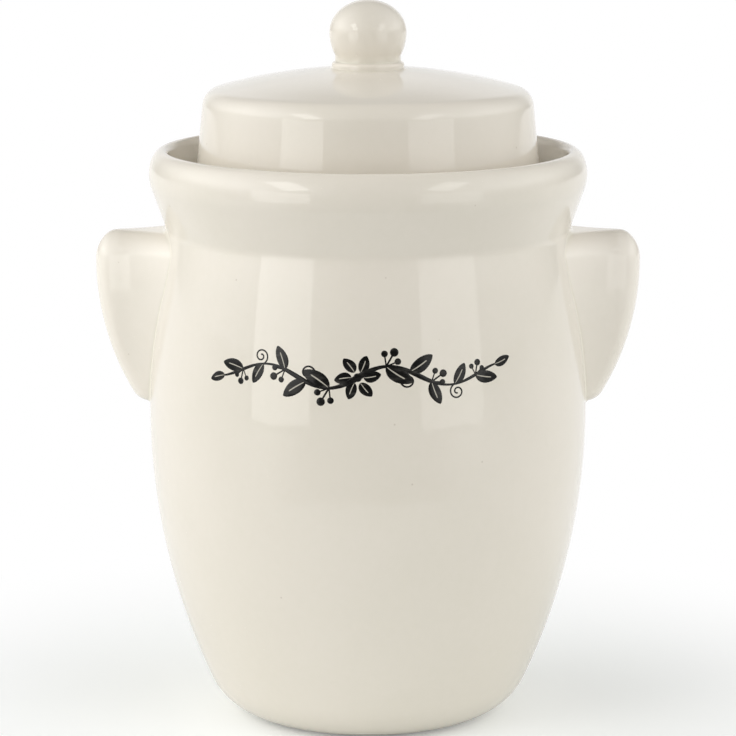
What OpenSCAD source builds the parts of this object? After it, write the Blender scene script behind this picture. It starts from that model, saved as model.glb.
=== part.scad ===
// Rum pot: a glazed stoneware crock with a gutter collar, two lug handles and a lift-off lid.
// Millimetres, +Z up, origin on the table under the middle of the base.
// The handles stand on the X axis and the front faces -Y.

/* [Crock] */
// Outer radius at the belly, the widest line of the crock
belly_r = 101; // [98:1:110]
// Height of the belly above the table
belly_z = 142; // [134:1:150]
// Radius of the long curve from the belly down to the bottom edge
side_curve_r = 302; // [280:1:380]
// Radius of the rounded bottom edge
bottom_edge_r = 29; // [22:1:34]
// How far the neck, where the collar starts, is drawn in from the belly
neck_in = 8.5; // [5:0.5:12]
// Height of the neck
neck_z = 226.5; // [215:0.5:245]
// Thickness of the side wall
wall_t = 8; // [6:0.5:10]
// Thickness of the base inside the foot ring
base_t = 9; // [7:0.5:12]
// Radius of the rounded corner between floor and wall, inside
floor_edge_r = 20; // [14:1:24]
// Thickness of the shoulder under the gutter
shoulder_t = 8; // [6:0.5:10]
// Radius of the rounded corner between wall and shoulder, inside
shoulder_edge_r = 10; // [6:1:14]
// Width of the dry ring that the crock stands on
foot_ring_w = 8; // [5:0.5:12]
// Depth of the hollow inside the foot ring
foot_hollow_h = 1.8; // [1:0.1:3]

/* [Mouth and gutter] */
// Width of the gutter floor, between the collar and the lip of the mouth
gutter_w = 15.5; // [14:0.5:20]
// Thickness of the upright lip round the mouth
lip_t = 6; // [5:0.5:8]
// Height of the lip above the gutter floor
lip_h = 30; // [24:1:38]
// Thickness of the collar at its foot
collar_t = 8; // [6:0.5:9]
// Height of the collar, from the neck to its crest
collar_h = 36.9; // [30:0.1:45]
// How far the collar's widest line stands out from the neck
flare_out = 8; // [4:0.5:12]
// Height of the rounded crest above the collar's widest line
crest_rise = 10.4; // [8:0.2:14]
// How far in from its widest line the collar reaches its crest
crest_in = 6.5; // [5:0.5:8]
// Thickness of the collar at its widest line
crest_t = 9.6; // [8.4:0.2:12]
// Height that the inner side of the crest rounds over
crest_round_h = 5; // [3:0.5:8]

/* [Handles] */
// How far the handle's outermost line stands out from the belly
lug_out = 24.3; // [20:0.1:30]
// Height of a handle, from its foot to its head
lug_h = 79; // [70:1:84]
// Gap between the head of a handle and the neck line
lug_drop = 0.5; // [0.5:0.5:4]
// Width of a handle near its head
lug_head_w = 42; // [36:1:52]
// Width of a handle at its foot
lug_foot_w = 20; // [14:1:26]
// Radius that rounds the head of a handle
lug_head_r = 14; // [10:1:17]
// Radius that rounds the foot of a handle
lug_foot_r = 3.5; // [2:0.5:5]
// Radius of the curve that the outer face of a handle follows, seen from the front
lug_face_r = 125; // [110:1:220]
// How square a handle is, seen from above: 2 is an ellipse
lug_squareness = 3; // [2:0.5:4]

/* [Lid] */
// Gap between the lid's bottom edge and the foot of the collar
lid_gap = 3; // [2:0.5:4]
// How much the lid's radius shrinks from its bottom edge to its top
lid_taper = 7.5; // [4:0.5:9]
// Height of the lid's dome above the gutter floor
lid_h = 74; // [66:1:84]
// Thickness of the lid
lid_t = 6; // [5:0.5:7]
// Radius of the dome
dome_r = 260; // [220:1:400]
// Radius of the rounded edge round the top of the lid
lid_edge_r = 8.5; // [6:0.5:10]
// Radius of the same edge inside the lid
lid_inner_edge_r = 5; // [3:0.5:6]
// Clearance between the lid's bottom edge and the gutter floor
lid_clear = 0.3; // [0.2:0.1:0.6]

/* [Knob] */
// Largest radius of the ball
ball_r = 17.6; // [14:0.2:20]
// Height of the ball above its widest line
ball_top_h = 14.8; // [12:0.2:17]
// Height of the ellipse that shapes the ball below its widest line
ball_low_h = 20; // [17:0.5:24]
// How much slimmer than the ball the neck under it is
knob_waist = 2.6; // [1:0.2:5]
// Height of the ball's widest line above the top of the dome
ball_z = 15.9; // [13:0.1:20]
// Radius of the bead round the foot of the neck
bead_r = 1.6; // [1:0.1:2.4]

/* [Hidden] */
$fn = 96;

// Number of straight steps along the long curves and round the small edges
curve_steps = 10;
edge_steps = 8;
// Rings and points of a handle's surface
lug_face_steps = 8;
lug_section_steps = 32;

// Crock: the curve above the belly stands upright at the belly and meets the neck
neck_r = belly_r - neck_in;
neck_up = neck_z - belly_z;
shoulder_curve_r = (pow(neck_in, 2) + pow(neck_up, 2)) / (2 * neck_in);
side_centre = [belly_r - side_curve_r, belly_z];
shoulder_centre = [belly_r - shoulder_curve_r, belly_z];
ceiling_z = neck_z - shoulder_t;
lip_top_z = neck_z + lip_h;

// Collar and mouth
collar_in_r = neck_r - collar_t;
mouth_r = collar_in_r - gutter_w - lip_t;
crest_z = neck_z + collar_h;
crest_r = neck_r + flare_out - crest_in;

// Handles: the section starts at a plane that lies well inside the wall
lug_root_x = neck_r - 2 * wall_t;
lug_reach = belly_r + lug_out;
lug_top_z = neck_z - lug_drop;
lug_foot_z = lug_top_z - lug_h;
lug_wide_z = lug_top_z - lug_head_r;

// Lid and knob
lid_foot_r = collar_in_r - lid_gap;
lid_top_r = lid_foot_r - lid_taper;
lid_foot_z = neck_z + lid_clear;
dome_z = neck_z + lid_h;
dome_centre = [0, dome_z - dome_r];
lid_lean = atan2(lid_foot_r - lid_top_r, dome_z - lid_foot_z);
knob_neck_r = ball_r - knob_waist;
knob_foot_r = knob_neck_r + bead_r;
ball_centre_z = dome_z + ball_z;

// Points of an arc about c, from angle a to angle b
function arc(c, r, a, b, steps) =
    [for (i = [0:steps]) let (t = a + (b - a) * i / steps) c + r * [cos(t), sin(t)]];

// Points of a quarter or less of an upright ellipse about c
function oval(c, rx, ry, a, b, steps) =
    [for (i = [0:steps]) let (t = a + (b - a) * i / steps) c + [rx * cos(t), ry * sin(t)]];

// Centre of an edge circle of radius r at height z that touches a big circle from inside
function edge_centre(big_c, big_r, r, z) =
    [big_c[0] + sqrt(pow(big_r - r, 2) - pow(z - big_c[1], 2)), z];

// Angle of the line from point p to point q
function angle_to(p, q) = atan2(q[1] - p[1], q[0] - p[0]);

// Angle round an upright oval about c at which a line from p touches it.
// Side 1 is the oval's left, seen from p, and -1 its right.
function touch_angle(p, c, rx, ry, side) =
    let (gap = [(c[0] - p[0]) / rx, (c[1] - p[1]) / ry])
    angle_to([0, 0], gap) + side * (asin(1 / norm(gap)) + 90);

// First point where a line from p along the unit vector d leaves the circle about c
function leave_point(p, d, c, r) =
    let (q = p - c, b = q * d)
    p + (sqrt(b * b - q * q + r * r) - b) * d;

// Half outline of the crock's outside, from the middle of the base to the neck
function crock_outside() =
    let (
        edge = edge_centre(side_centre, side_curve_r, bottom_edge_r, bottom_edge_r),
        turn = angle_to(side_centre, edge),
        neck_turn = angle_to(shoulder_centre, [neck_r, neck_z])
    )
    concat(
        arc(edge, bottom_edge_r, -90, turn, edge_steps),
        arc(side_centre, side_curve_r, turn, 0, curve_steps),
        arc(shoulder_centre, shoulder_curve_r, 0, neck_turn, curve_steps)
    );

// Half outline of the crock's inside, from the mouth down to the middle of the floor
function crock_inside() =
    let (
        inner_r = side_curve_r - wall_t,
        upper_r = shoulder_curve_r - wall_t,
        top = edge_centre(shoulder_centre, upper_r, shoulder_edge_r, ceiling_z - shoulder_edge_r),
        low = edge_centre(side_centre, inner_r, floor_edge_r, base_t + floor_edge_r),
        top_turn = angle_to(shoulder_centre, top),
        low_turn = angle_to(side_centre, low)
    )
    concat(
        arc(top, shoulder_edge_r, 90, top_turn, edge_steps),
        arc(shoulder_centre, upper_r, top_turn, 0, curve_steps),
        arc(side_centre, inner_r, 0, low_turn, curve_steps),
        arc(low, floor_edge_r, low_turn, -90, edge_steps),
        [[0, base_t]]
    );

// Solid block with the crock's outside shape, which the handles are fitted to
module crock_block() {
    rotate_extrude()
        polygon(concat([[0, 0]], crock_outside(), [[0, neck_z]]));
}

module crock_body() {
    lip_r = lip_t / 2;
    foot_in = crock_outside()[0][0] - foot_ring_w;
    color([0.93, 0.90, 0.83])
        rotate_extrude()
            polygon(concat(
                [[0, foot_hollow_h], [foot_in - foot_hollow_h, foot_hollow_h], [foot_in, 0]],
                crock_outside(),
                [[mouth_r + lip_t, neck_z]],
                arc([mouth_r + lip_r, lip_top_z - lip_r], lip_r, 0, 180, edge_steps),
                arc([mouth_r + lip_r, ceiling_z + lip_r], lip_r, 180, 270, edge_steps),
                crock_inside()
            ));
}

module gutter_collar() {
    outer_foot = [neck_r, neck_z];
    inner_foot = [collar_in_r, neck_z];
    outer_c = [crest_r, crest_z - crest_rise];
    inner_c = [crest_r, crest_z - crest_round_h];
    inner_w = crest_t - crest_in;
    from = touch_angle(outer_foot, outer_c, crest_in, crest_rise, -1);
    to = touch_angle(inner_foot, inner_c, inner_w, crest_round_h, 1);
    color([0.94, 0.91, 0.85])
        rotate_extrude()
            polygon(concat(
                [inner_foot, outer_foot],
                oval(outer_c, crest_in, crest_rise, from, 90, edge_steps),
                oval(inner_c, inner_w, crest_round_h, 90, to, edge_steps)
            ));
}

// How far the rounded head and foot draw the surface of a handle in at height z
function lug_inset(z) =
    z > lug_wide_z
        ? lug_head_r - sqrt(max(0, pow(lug_head_r, 2) - pow(z - lug_wide_z, 2)))
        : z < lug_foot_z + lug_foot_r
            ? lug_foot_r - sqrt(max(0, pow(lug_foot_r, 2) - pow(lug_foot_z + lug_foot_r - z, 2)))
            : 0;

// Distance of a handle's outer face from the pot's axis at height z
function lug_face(z) =
    lug_reach - lug_inset(z)
    - (z < lug_wide_z ? lug_face_r - sqrt(pow(lug_face_r, 2) - pow(lug_wide_z - z, 2)) : 0);

// Half width of a handle at height z
function lug_half(z) =
    let (down = max(0, lug_wide_z - z) / (lug_wide_z - lug_foot_z))
    (lug_head_w - (lug_head_w - lug_foot_w) * pow(down, 1.5)) / 2 - lug_inset(z);

// Heights of the rings that a handle's surface runs through, from the foot up
function lug_heights() =
    concat(
        [for (i = [0:edge_steps / 2 - 1])
            lug_foot_z + lug_foot_r * (1 - cos(90 * i * 2 / edge_steps))],
        [for (i = [0:lug_face_steps - 1])
            lug_foot_z + lug_foot_r + (lug_wide_z - lug_foot_z - lug_foot_r) * i / lug_face_steps],
        [for (i = [0:edge_steps]) lug_wide_z + lug_head_r * sin(90 * i / edge_steps)]
    );

// One ring of a handle: a squared half oval from the root plane out to the face
function lug_ring(z) =
    [for (i = [0:lug_section_steps])
        let (
            t = -90 + 180 * i / lug_section_steps,
            p = 2 / lug_squareness,
            out = pow(abs(cos(t)), p),
            across = sign(t) * pow(abs(sin(t)), p)
        )
        [lug_root_x + (lug_face(z) - lug_root_x) * out, lug_half(z) * across, z]];

// A handle on the +X side, before it is fitted to the wall
module lug_block() {
    heights = lug_heights();
    count = lug_section_steps + 1;
    rows = len(heights);
    side_faces = [for (j = [0:rows - 2]) for (i = [0:count - 1])
        let (k = (i + 1) % count)
        for (tri = [
            [j * count + i, (j + 1) * count + i, j * count + k],
            [j * count + k, (j + 1) * count + i, (j + 1) * count + k],
        ]) tri];
    bottom = [for (i = [0:count - 1]) i];
    top = [for (i = [0:count - 1]) rows * count - 1 - i];
    polyhedron(
        points = [for (z = heights) for (p = lug_ring(z)) p],
        faces = concat(side_faces, [bottom], [top])
    );
}

module right_handle() {
    color([0.95, 0.92, 0.86])
        difference() {
            lug_block();
            crock_block();
        }
}

module left_handle() {
    mirror([1, 0, 0])
        right_handle();
}

// Points along the dome from the radius a out to the radius b
function dome_points(a, b, steps) =
    arc(dome_centre, dome_r, acos(a / dome_r), acos(b / dome_r), steps);

// Foot of the lid's inner wall, set in from the outer one by the lid's thickness
function lid_inner_foot() = [lid_foot_r - lid_t / cos(lid_lean), lid_foot_z];

// Centre of the rounded edge between the wall and the dome, set in by inset from the outside
function lid_edge_centre(foot, r, ball) =
    leave_point(
        foot - [r / cos(lid_lean), 0],
        [-sin(lid_lean), cos(lid_lean)],
        dome_centre,
        ball - r
    );

module lid_shell() {
    outer_c = lid_edge_centre([lid_foot_r, lid_foot_z], lid_edge_r, dome_r);
    inner_c = lid_edge_centre(lid_inner_foot(), lid_inner_edge_r, dome_r - lid_t);
    outer_turn = angle_to(dome_centre, outer_c);
    inner_turn = angle_to(dome_centre, inner_c);
    foot_edge = lid_t / 2;
    foot_c = [lid_foot_r - foot_edge / cos(lid_lean), lid_foot_z]
        + foot_edge * [-tan(lid_lean), 1];
    top = dome_points(0, knob_foot_r, 3);
    top_turn = angle_to(dome_centre, top[3]);
    color([0.93, 0.90, 0.84])
        rotate_extrude()
            polygon(concat(
                top,
                arc(dome_centre, dome_r, top_turn, outer_turn, curve_steps),
                arc(outer_c, lid_edge_r, outer_turn, lid_lean, edge_steps),
                arc(foot_c, foot_edge, lid_lean, -180 + lid_lean, edge_steps),
                arc(inner_c, lid_inner_edge_r, lid_lean, inner_turn, edge_steps),
                arc(dome_centre, dome_r - lid_t, inner_turn, 90, curve_steps)
            ));
}

module lid_knob() {
    neck_turn = -acos(knob_neck_r / ball_r);
    foot = dome_points(0, knob_foot_r, 3);
    neck_z_top = ball_centre_z + ball_low_h * sin(neck_turn);
    bead_z = foot[3][1] + bead_r;
    color([0.92, 0.89, 0.83])
        rotate_extrude()
            polygon(concat(
                foot,
                arc([knob_neck_r, bead_z], bead_r, 0, 90, edge_steps),
                [[knob_neck_r, neck_z_top]],
                oval([0, ball_centre_z], ball_r, ball_low_h, neck_turn, 0, edge_steps),
                oval([0, ball_centre_z], ball_r, ball_top_h, 0, 90, edge_steps)
            ));
}

crock_body();
gutter_collar();
left_handle();
right_handle();
lid_shell();
lid_knob();
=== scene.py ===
"""Looks of the rum pot: its glazed shapes, its brushed ink sprig and the studio it stands in.

Lengths are metres, +Z is up, and the origin is on the table under the middle of the base. The
handles stand on the X axis and the front faces -Y.
"""

import logging
import math
from collections.abc import Callable
from dataclasses import dataclass, field
from enum import Enum
from functools import cache
from typing import ClassVar

import bmesh
import bpy
import numpy as np
from mathutils import Euler, Matrix


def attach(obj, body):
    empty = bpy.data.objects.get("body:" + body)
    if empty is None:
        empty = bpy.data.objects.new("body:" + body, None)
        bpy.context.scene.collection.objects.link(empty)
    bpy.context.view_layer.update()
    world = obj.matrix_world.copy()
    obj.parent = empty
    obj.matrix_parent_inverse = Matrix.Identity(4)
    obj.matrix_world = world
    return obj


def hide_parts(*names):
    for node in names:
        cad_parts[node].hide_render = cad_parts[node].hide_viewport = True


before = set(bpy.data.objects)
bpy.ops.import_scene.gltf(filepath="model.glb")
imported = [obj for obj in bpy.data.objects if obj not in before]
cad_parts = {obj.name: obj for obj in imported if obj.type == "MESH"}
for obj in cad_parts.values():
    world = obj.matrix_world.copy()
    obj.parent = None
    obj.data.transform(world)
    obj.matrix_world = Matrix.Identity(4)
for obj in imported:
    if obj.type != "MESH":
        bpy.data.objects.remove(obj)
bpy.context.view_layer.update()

log = logging.getLogger("rum_pot")

MM = 0.001
SAME_POINT = 1e-7
ON_AXIS = 1e-6
GLAZE_IOR = 1.52

Point = tuple[float, float]
Colour = tuple[float, float, float]
Socket = bpy.types.NodeSocket
Inputs = dict[str, Socket]
Finishes = list[bpy.types.Material]


class Body(Enum):
    """The bodies that pieces ride on."""

    CROCK = "crock"
    LID = "lid"


class Slot(Enum):
    """The material slots that pieces take their finish from."""

    CROCK = "crock_glaze"
    HANDLE = "handle_glaze"
    LID = "lid_glaze"
    INK = "ink_decal"


class Side(Enum):
    """The side of the pot that a handle is on, as the sign of its X."""

    LEFT = -1
    RIGHT = 1


# Outlines


def angle_to(start: Point, end: Point) -> float:
    """Angle in degrees of the line from start to end."""
    return math.degrees(math.atan2(end[1] - start[1], end[0] - start[0]))


def polar(centre: Point, radius: float, angle: float) -> Point:
    """Point at an angle in degrees on the circle about centre."""
    turn = math.radians(angle)
    return centre[0] + radius * math.cos(turn), centre[1] + radius * math.sin(turn)


@dataclass
class Outline:
    """Half section of a turned shape, as (radius, height) points with the outside on the right.

    Attributes:
        points: The points in order.
        corners: Indexes of the points that stay sharp.
        STEP: Longest step along a stretch.
        TURN: Largest turn from one step to the next, in degrees.
        SEAM_TURN: Turn of the short step that keeps the seam of two pieces tight, in degrees.
    """

    STEP: ClassVar[float] = 2.4 * MM
    TURN: ClassVar[float] = 5.0
    SEAM_TURN: ClassVar[float] = 0.3

    points: list[Point] = field(default_factory=list)
    corners: list[int] = field(default_factory=list)

    def to(self, *points: Point, corner: bool = False) -> "Outline":
        """Adds single points, and keeps them sharp if they are corners.

        Args:
            points: The points to add.
            corner: True if the surface breaks sharply at them.

        Returns:
            The same outline, so that calls can be chained.
        """
        for point in points:
            if not self.points or math.dist(point, self.points[-1]) > SAME_POINT:
                self.points.append(point)
            if corner:
                self.corners.append(len(self.points) - 1)
        return self

    def oval(self, centre: Point, radii: Point, start: float, end: float) -> "Outline":
        """Adds a stretch of an upright ellipse.

        Args:
            centre: Middle of the ellipse.
            radii: Its radius outwards and its radius upwards.
            start: Angle at which the stretch starts, in degrees.
            end: Angle at which it ends.

        Returns:
            The same outline.
        """
        length = math.radians(abs(end - start)) * max(radii)
        steps = max(2, math.ceil(abs(end - start) / self.TURN), math.ceil(length / self.STEP))
        for i in range(steps + 1):
            turn = math.radians(start + (end - start) * i / steps)
            self.to((centre[0] + radii[0] * math.cos(turn), centre[1] + radii[1] * math.sin(turn)))
        return self

    def straight(self, end: Point, steps: int) -> "Outline":
        """Adds the steps of a straight stretch to end, without end itself.

        Args:
            end: Where the stretch ends.
            steps: Number of steps in the whole stretch.

        Returns:
            The same outline.
        """
        start = self.points[-1]
        for i in range(1, steps):
            self.to(tuple(np.add(start, np.subtract(end, start) * i / steps)))
        return self

    def arc(self, centre: Point, radius: float, start: float, end: float) -> "Outline":
        """Adds a circular arc between two angles in degrees, and returns the same outline."""
        return self.oval(centre, (radius, radius), start, end)

    def bend(self, corner: Point, after: Point, radius: float) -> "Outline":
        """Goes from the last point towards after, past a corner that is rounded by a radius.

        Args:
            corner: Point where the two straight stretches would meet.
            after: Any point on the stretch that leaves the corner.
            radius: Radius of the rounding.

        Returns:
            The same outline, which ends where the rounding ends.
        """
        before = np.subtract(self.points[-1], corner)
        beyond = np.subtract(after, corner)
        before = before / np.hypot(*before)
        beyond = beyond / np.hypot(*beyond)
        half = math.acos(float(np.clip(before @ beyond, -1.0, 1.0))) / 2
        middle = (before + beyond) / np.hypot(*(before + beyond))
        centre = tuple(np.add(corner, middle * radius / math.sin(half)))
        touch = [tuple(np.add(corner, side * radius / math.tan(half))) for side in (before, beyond)]
        start = angle_to(centre, touch[0])
        sweep = (angle_to(centre, touch[1]) - start + 180) % 360 - 180
        return self.arc(centre, radius, start, start + sweep)


# Meshes


@dataclass(frozen=True)
class Wave:
    """One slow wave of hand-finished clay.

    Attributes:
        count: Number of waves round the pot.
        start: Where the wave starts, in radians.
        climb: How far it turns over the height DRIFT_RISE, in radians.
        strength: Its share of the depth.
    """

    count: int
    start: float
    climb: float
    strength: float


DRIFT_DEPTH = 0.22 * MM
DRIFT_RISE = 30 * MM
DRIFT_R = 100 * MM
DRIFT_WAVES = (Wave(2, 0.6, 0.7, 1.0), Wave(3, -1.9, -1.0, 1.0), Wave(5, 2.6, 1.4, 0.6))

RUN_BEND = 55.0
RUN_SPAN = 260.0
RUN_PASSES = 4


def drift(points: np.ndarray) -> np.ndarray:
    """Draws points in by a fraction of a millimetre, in slow waves, as hand-finished clay does.

    At the radius DRIFT_R the waves are up to DRIFT_DEPTH deep.

    Args:
        points: Array of places, one row each.

    Returns:
        The moved places.
    """
    turn = np.arctan2(points[..., 1], points[..., 0])
    rise = points[..., 2] / DRIFT_RISE
    waves = sum(w.strength * np.cos(w.count * turn + w.start + w.climb * rise) for w in DRIFT_WAVES)
    waves = waves / sum(w.strength for w in DRIFT_WAVES)
    share = 1 - DRIFT_DEPTH * (1 + waves) / 2 / DRIFT_R
    return points * np.stack([share, share, np.ones_like(share)], axis=-1)


# The hollow side of this mask darkens the glaze in hollows and creases: partly pooled glaze, partly
# painted shade.
def mark_glaze_run_and_hollow_shade(mesh: bpy.types.Mesh) -> None:
    """Stores how the glaze has run: +1 where it is thin on an edge, -1 in a hollow, where it pools
    and where its darker colour also paints the shade of the crease.

    It starts to run where the surface bends by RUN_BEND radians per metre, has run fully where it
    bends by RUN_SPAN more, and the result is smoothed in RUN_PASSES passes.

    Args:
        mesh: The mesh that gets the attribute "run" on its points.
    """
    count = len(mesh.vertices)
    place = np.empty(count * 3)
    mesh.vertices.foreach_get("co", place)
    place = place.reshape(-1, 3)
    normal = np.empty(count * 3)
    mesh.vertex_normals.foreach_get("vector", normal)
    normal = normal.reshape(-1, 3)
    ends = np.empty(len(mesh.edges) * 2, dtype=int)
    mesh.edges.foreach_get("vertices", ends)
    a, b = ends.reshape(-1, 2).T
    step = place[b] - place[a]
    bend = np.einsum("ij,ij->i", normal[b] - normal[a], step) / np.einsum("ij,ij->i", step, step)
    strongest = np.zeros(count)
    hollowest = np.zeros(count)
    for end in (a, b):
        np.maximum.at(strongest, end, bend)
        np.minimum.at(hollowest, end, bend)
    run = np.clip((strongest - RUN_BEND) / RUN_SPAN, 0, 1)
    run = run - np.clip((-hollowest - RUN_BEND) / RUN_SPAN, 0, 1)
    for _ in range(RUN_PASSES):
        total = run.copy()
        share = np.ones(count)
        for start, end in ((a, b), (b, a)):
            np.add.at(total, start, run[end])
            np.add.at(share, start, 1)
        run = total / share
    layer = mesh.attributes.new("run", "FLOAT", "POINT")
    layer.data.foreach_set("value", run.astype(np.float32))


def placed(name: str, data: bpy.types.ID | None) -> bpy.types.Object:
    """Puts a mesh, lamp or camera into the scene as an object at the origin."""
    obj = bpy.data.objects.new(name, data)
    bpy.context.scene.collection.objects.link(obj)
    return obj


def skin(
    name: str,
    rings: np.ndarray,
    first_pole: np.ndarray | None = None,
    last_pole: np.ndarray | None = None,
    corners: list[int] | None = None,
    wrap: bool = False,
) -> bpy.types.Object:
    """Makes a closed, smooth object from rings of points.

    Args:
        name: Name of the object.
        rings: Array of rings, each with the same number of points.
        first_pole: Point that closes the first ring, if there is one.
        last_pole: Point that closes the last ring, if there is one.
        corners: Indexes of the rings that stay sharp.
        wrap: True if the last ring joins the first one.

    Returns:
        The new object, at the origin.
    """
    rows, count = rings.shape[:2]
    places = list(rings.reshape(-1, 3))
    faces = []
    for j in range(rows if wrap else rows - 1):
        low, high = j * count, (j + 1) % rows * count
        for i in range(count):
            k = (i + 1) % count
            faces.append((low + i, low + k, high + k, high + i))
    if first_pole is not None:
        faces += [(len(places), (i + 1) % count, i) for i in range(count)]
        places.append(first_pole)
    if last_pole is not None:
        top = (rows - 1) * count
        faces += [(len(places), top + i, top + (i + 1) % count) for i in range(count)]
        places.append(last_pole)
    mesh = bpy.data.meshes.new(name)
    mesh.from_pydata([tuple(p) for p in drift(np.array(places))], [], faces)
    mesh.validate()
    mesh.shade_smooth()
    tidy = bmesh.new()
    tidy.from_mesh(mesh)
    bmesh.ops.recalc_face_normals(tidy, faces=tidy.faces)
    for edge in tidy.edges:
        row = {point.index // count for point in edge.verts}
        if len(row) == 1 and row & set(corners or []):
            edge.smooth = False
    tidy.to_mesh(mesh)
    tidy.free()
    mark_glaze_run_and_hollow_shade(mesh)
    return placed(name, mesh)


def turned(name: str, outline: Outline, wrap: bool = False, count: int = 240) -> bpy.types.Object:
    """Turns an outline about the pot's axis.

    Args:
        name: Name of the object.
        outline: The half section. Ends on the axis become closed poles.
        wrap: True if the outline is a ring that never meets the axis.
        count: Number of points round the axis.

    Returns:
        The new object.
    """
    turns = np.linspace(0, 2 * math.pi, count, endpoint=False)
    radius, height = np.array([p for p in outline.points if p[0] >= ON_AXIS]).T
    rings = np.stack(
        [
            radius[:, None] * np.cos(turns),
            radius[:, None] * np.sin(turns),
            np.repeat(height[:, None], count, axis=1),
        ],
        axis=-1,
    )
    first, last = (
        np.array([0.0, 0.0, z]) if r < ON_AXIS else None
        for r, z in (outline.points[0], outline.points[-1])
    )
    shift = 0 if first is None else 1
    return skin(name, rings, first, last, [c - shift for c in outline.corners], wrap)


def repaint(obj: bpy.types.Object, index: int, test: Callable[[np.ndarray], np.ndarray]) -> None:
    """Gives the faces that pass a test another of the object's materials.

    Args:
        obj: The object.
        index: Index of the material.
        test: Takes the faces' centres and says which of them change.
    """
    count = len(obj.data.polygons)
    centres = np.empty(count * 3)
    obj.data.polygons.foreach_get("center", centres)
    chosen = np.where(test(centres.reshape(-1, 3)), index, 0).astype(np.int32)
    obj.data.polygons.foreach_set("material_index", chosen)


def settle(
    obj: bpy.types.Object,
    body: Body,
    finishes: Finishes,
    nodes: tuple[str, ...] = (),
) -> None:
    """Gives a finished piece its materials and its body, and reports it.

    Args:
        obj: The piece.
        body: The body that it rides on.
        finishes: Its materials, in the order of their indexes.
        nodes: The solids that it stands for.
    """
    for finish in finishes:
        obj.data.materials.append(finish)
    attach(obj, body.value)
    if nodes:
        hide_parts(*nodes)
    log.info("%s: %d faces, rides on %s", obj.name, len(obj.data.polygons), body.value)


# Node trees


class Tree:
    """Short calls that add nodes to a node tree and join them.

    Attributes:
        MIX_INPUTS: Places of share, first and second colour among the inputs of a Mix node.
        MIX_COLOUR: Place of the colour among its outputs.
    """

    MIX_INPUTS: ClassVar[tuple[int, int, int]] = (0, 6, 7)
    MIX_COLOUR: ClassVar[int] = 2

    def __init__(self, tree: bpy.types.NodeTree) -> None:
        """Starts with an empty tree."""
        self.tree = tree
        tree.nodes.clear()

    def add(self, kind: str, values: dict | None = None, **settings: object) -> bpy.types.Node:
        """Adds a node.

        Args:
            kind: Blender's name for the node's type.
            values: What each input gets, by its name or index: a socket to link, or a value.
            settings: The node's own settings.

        Returns:
            The new node.
        """
        node = self.tree.nodes.new(kind)
        for name, value in settings.items():
            setattr(node, name, value)
        for name, value in (values or {}).items():
            self.put(node.inputs[name], value)
        return node

    def put(self, target: Socket, value: object) -> None:
        """Links a socket to an input, or sets the input's value.

        Args:
            target: The input.
            value: The socket to link, or the value.
        """
        if isinstance(value, bpy.types.NodeSocket):
            self.tree.links.new(value, target)
        elif isinstance(value, tuple) and len(value) == 3 and target.type == "RGBA":
            target.default_value = (*value, 1.0)
        else:
            target.default_value = value

    def math(self, operation: str, *values: object) -> Socket:
        """Adds a Math node and returns its result."""
        return self.add("ShaderNodeMath", dict(enumerate(values)), operation=operation).outputs[0]

    def line(self, value: object, slope: object, start: object) -> Socket:
        """A value times a slope, plus a start."""
        return self.math("MULTIPLY_ADD", value, slope, start)

    def times(self, a: object, b: object) -> Socket:
        """Product of two values."""
        return self.math("MULTIPLY", a, b)

    def plus(self, a: object, b: object) -> Socket:
        """Sum of two values."""
        return self.math("ADD", a, b)

    def vector(self, operation: str, *values: object) -> bpy.types.Node:
        """Adds a Vector Math node and returns the node."""
        return self.add("ShaderNodeVectorMath", dict(enumerate(values)), operation=operation)

    def combine(self, **parts: object) -> Socket:
        """Vector with the given parts, where the others are 0."""
        return self.add("ShaderNodeCombineXYZ", parts).outputs[0]

    def parts(self, vector: Socket) -> bpy.types.bpy_prop_collection:
        """The three parts of a vector, in order or by name."""
        return self.add("ShaderNodeSeparateXYZ", {0: vector}).outputs

    def ease(self, value: Socket, low: object, high: object) -> Socket:
        """Rises smoothly from 0 to 1 as value goes from low to high.

        Args:
            value: The value.
            low: Where the rise starts.
            high: Where it ends.

        Returns:
            How far it has risen.
        """
        node = self.add(
            "ShaderNodeMapRange",
            {"Value": value, "From Min": low, "From Max": high},
            interpolation_type="SMOOTHSTEP",
        )
        return node.outputs["Result"]

    def mix(self, share: object, a: object, b: object) -> Socket:
        """Mixes two colours and returns the result."""
        values = dict(zip(self.MIX_INPUTS, (share, a, b)))
        return self.add("ShaderNodeMix", values, data_type="RGBA").outputs[self.MIX_COLOUR]

    def noise(self, place: Socket, scale: object, detail: float, rough: float = 0.5) -> Socket:
        """Adds a Noise Texture and returns its value."""
        values = {"Vector": place, "Scale": scale, "Detail": detail, "Roughness": rough}
        return self.add("ShaderNodeTexNoise", values).outputs["Fac"]

    def bump(self, height: Socket, distance: float, strength: float = 1.0) -> Socket:
        """Adds a Bump node and returns its normal."""
        values = {"Strength": strength, "Distance": distance, "Height": height}
        return self.add("ShaderNodeBump", values).outputs["Normal"]

    def group(self, build: Callable[[], bpy.types.NodeTree], values: dict) -> bpy.types.Node:
        """Adds a shared node group, with a value for each named input."""
        return self.add("ShaderNodeGroup", values, node_tree=build())

    def principled(self, values: dict) -> None:
        """Adds the material's Principled BSDF and its output."""
        shader = self.add("ShaderNodeBsdfPrincipled", values)
        self.add("ShaderNodeOutputMaterial", {"Surface": shader.outputs[0]})


def open_material(name: str) -> tuple[bpy.types.Material, Tree]:
    """Makes a material, and returns it with its node tree, which is empty."""
    material = bpy.data.materials.new(name)
    material.use_nodes = True
    return material, Tree(material.node_tree)


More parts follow.
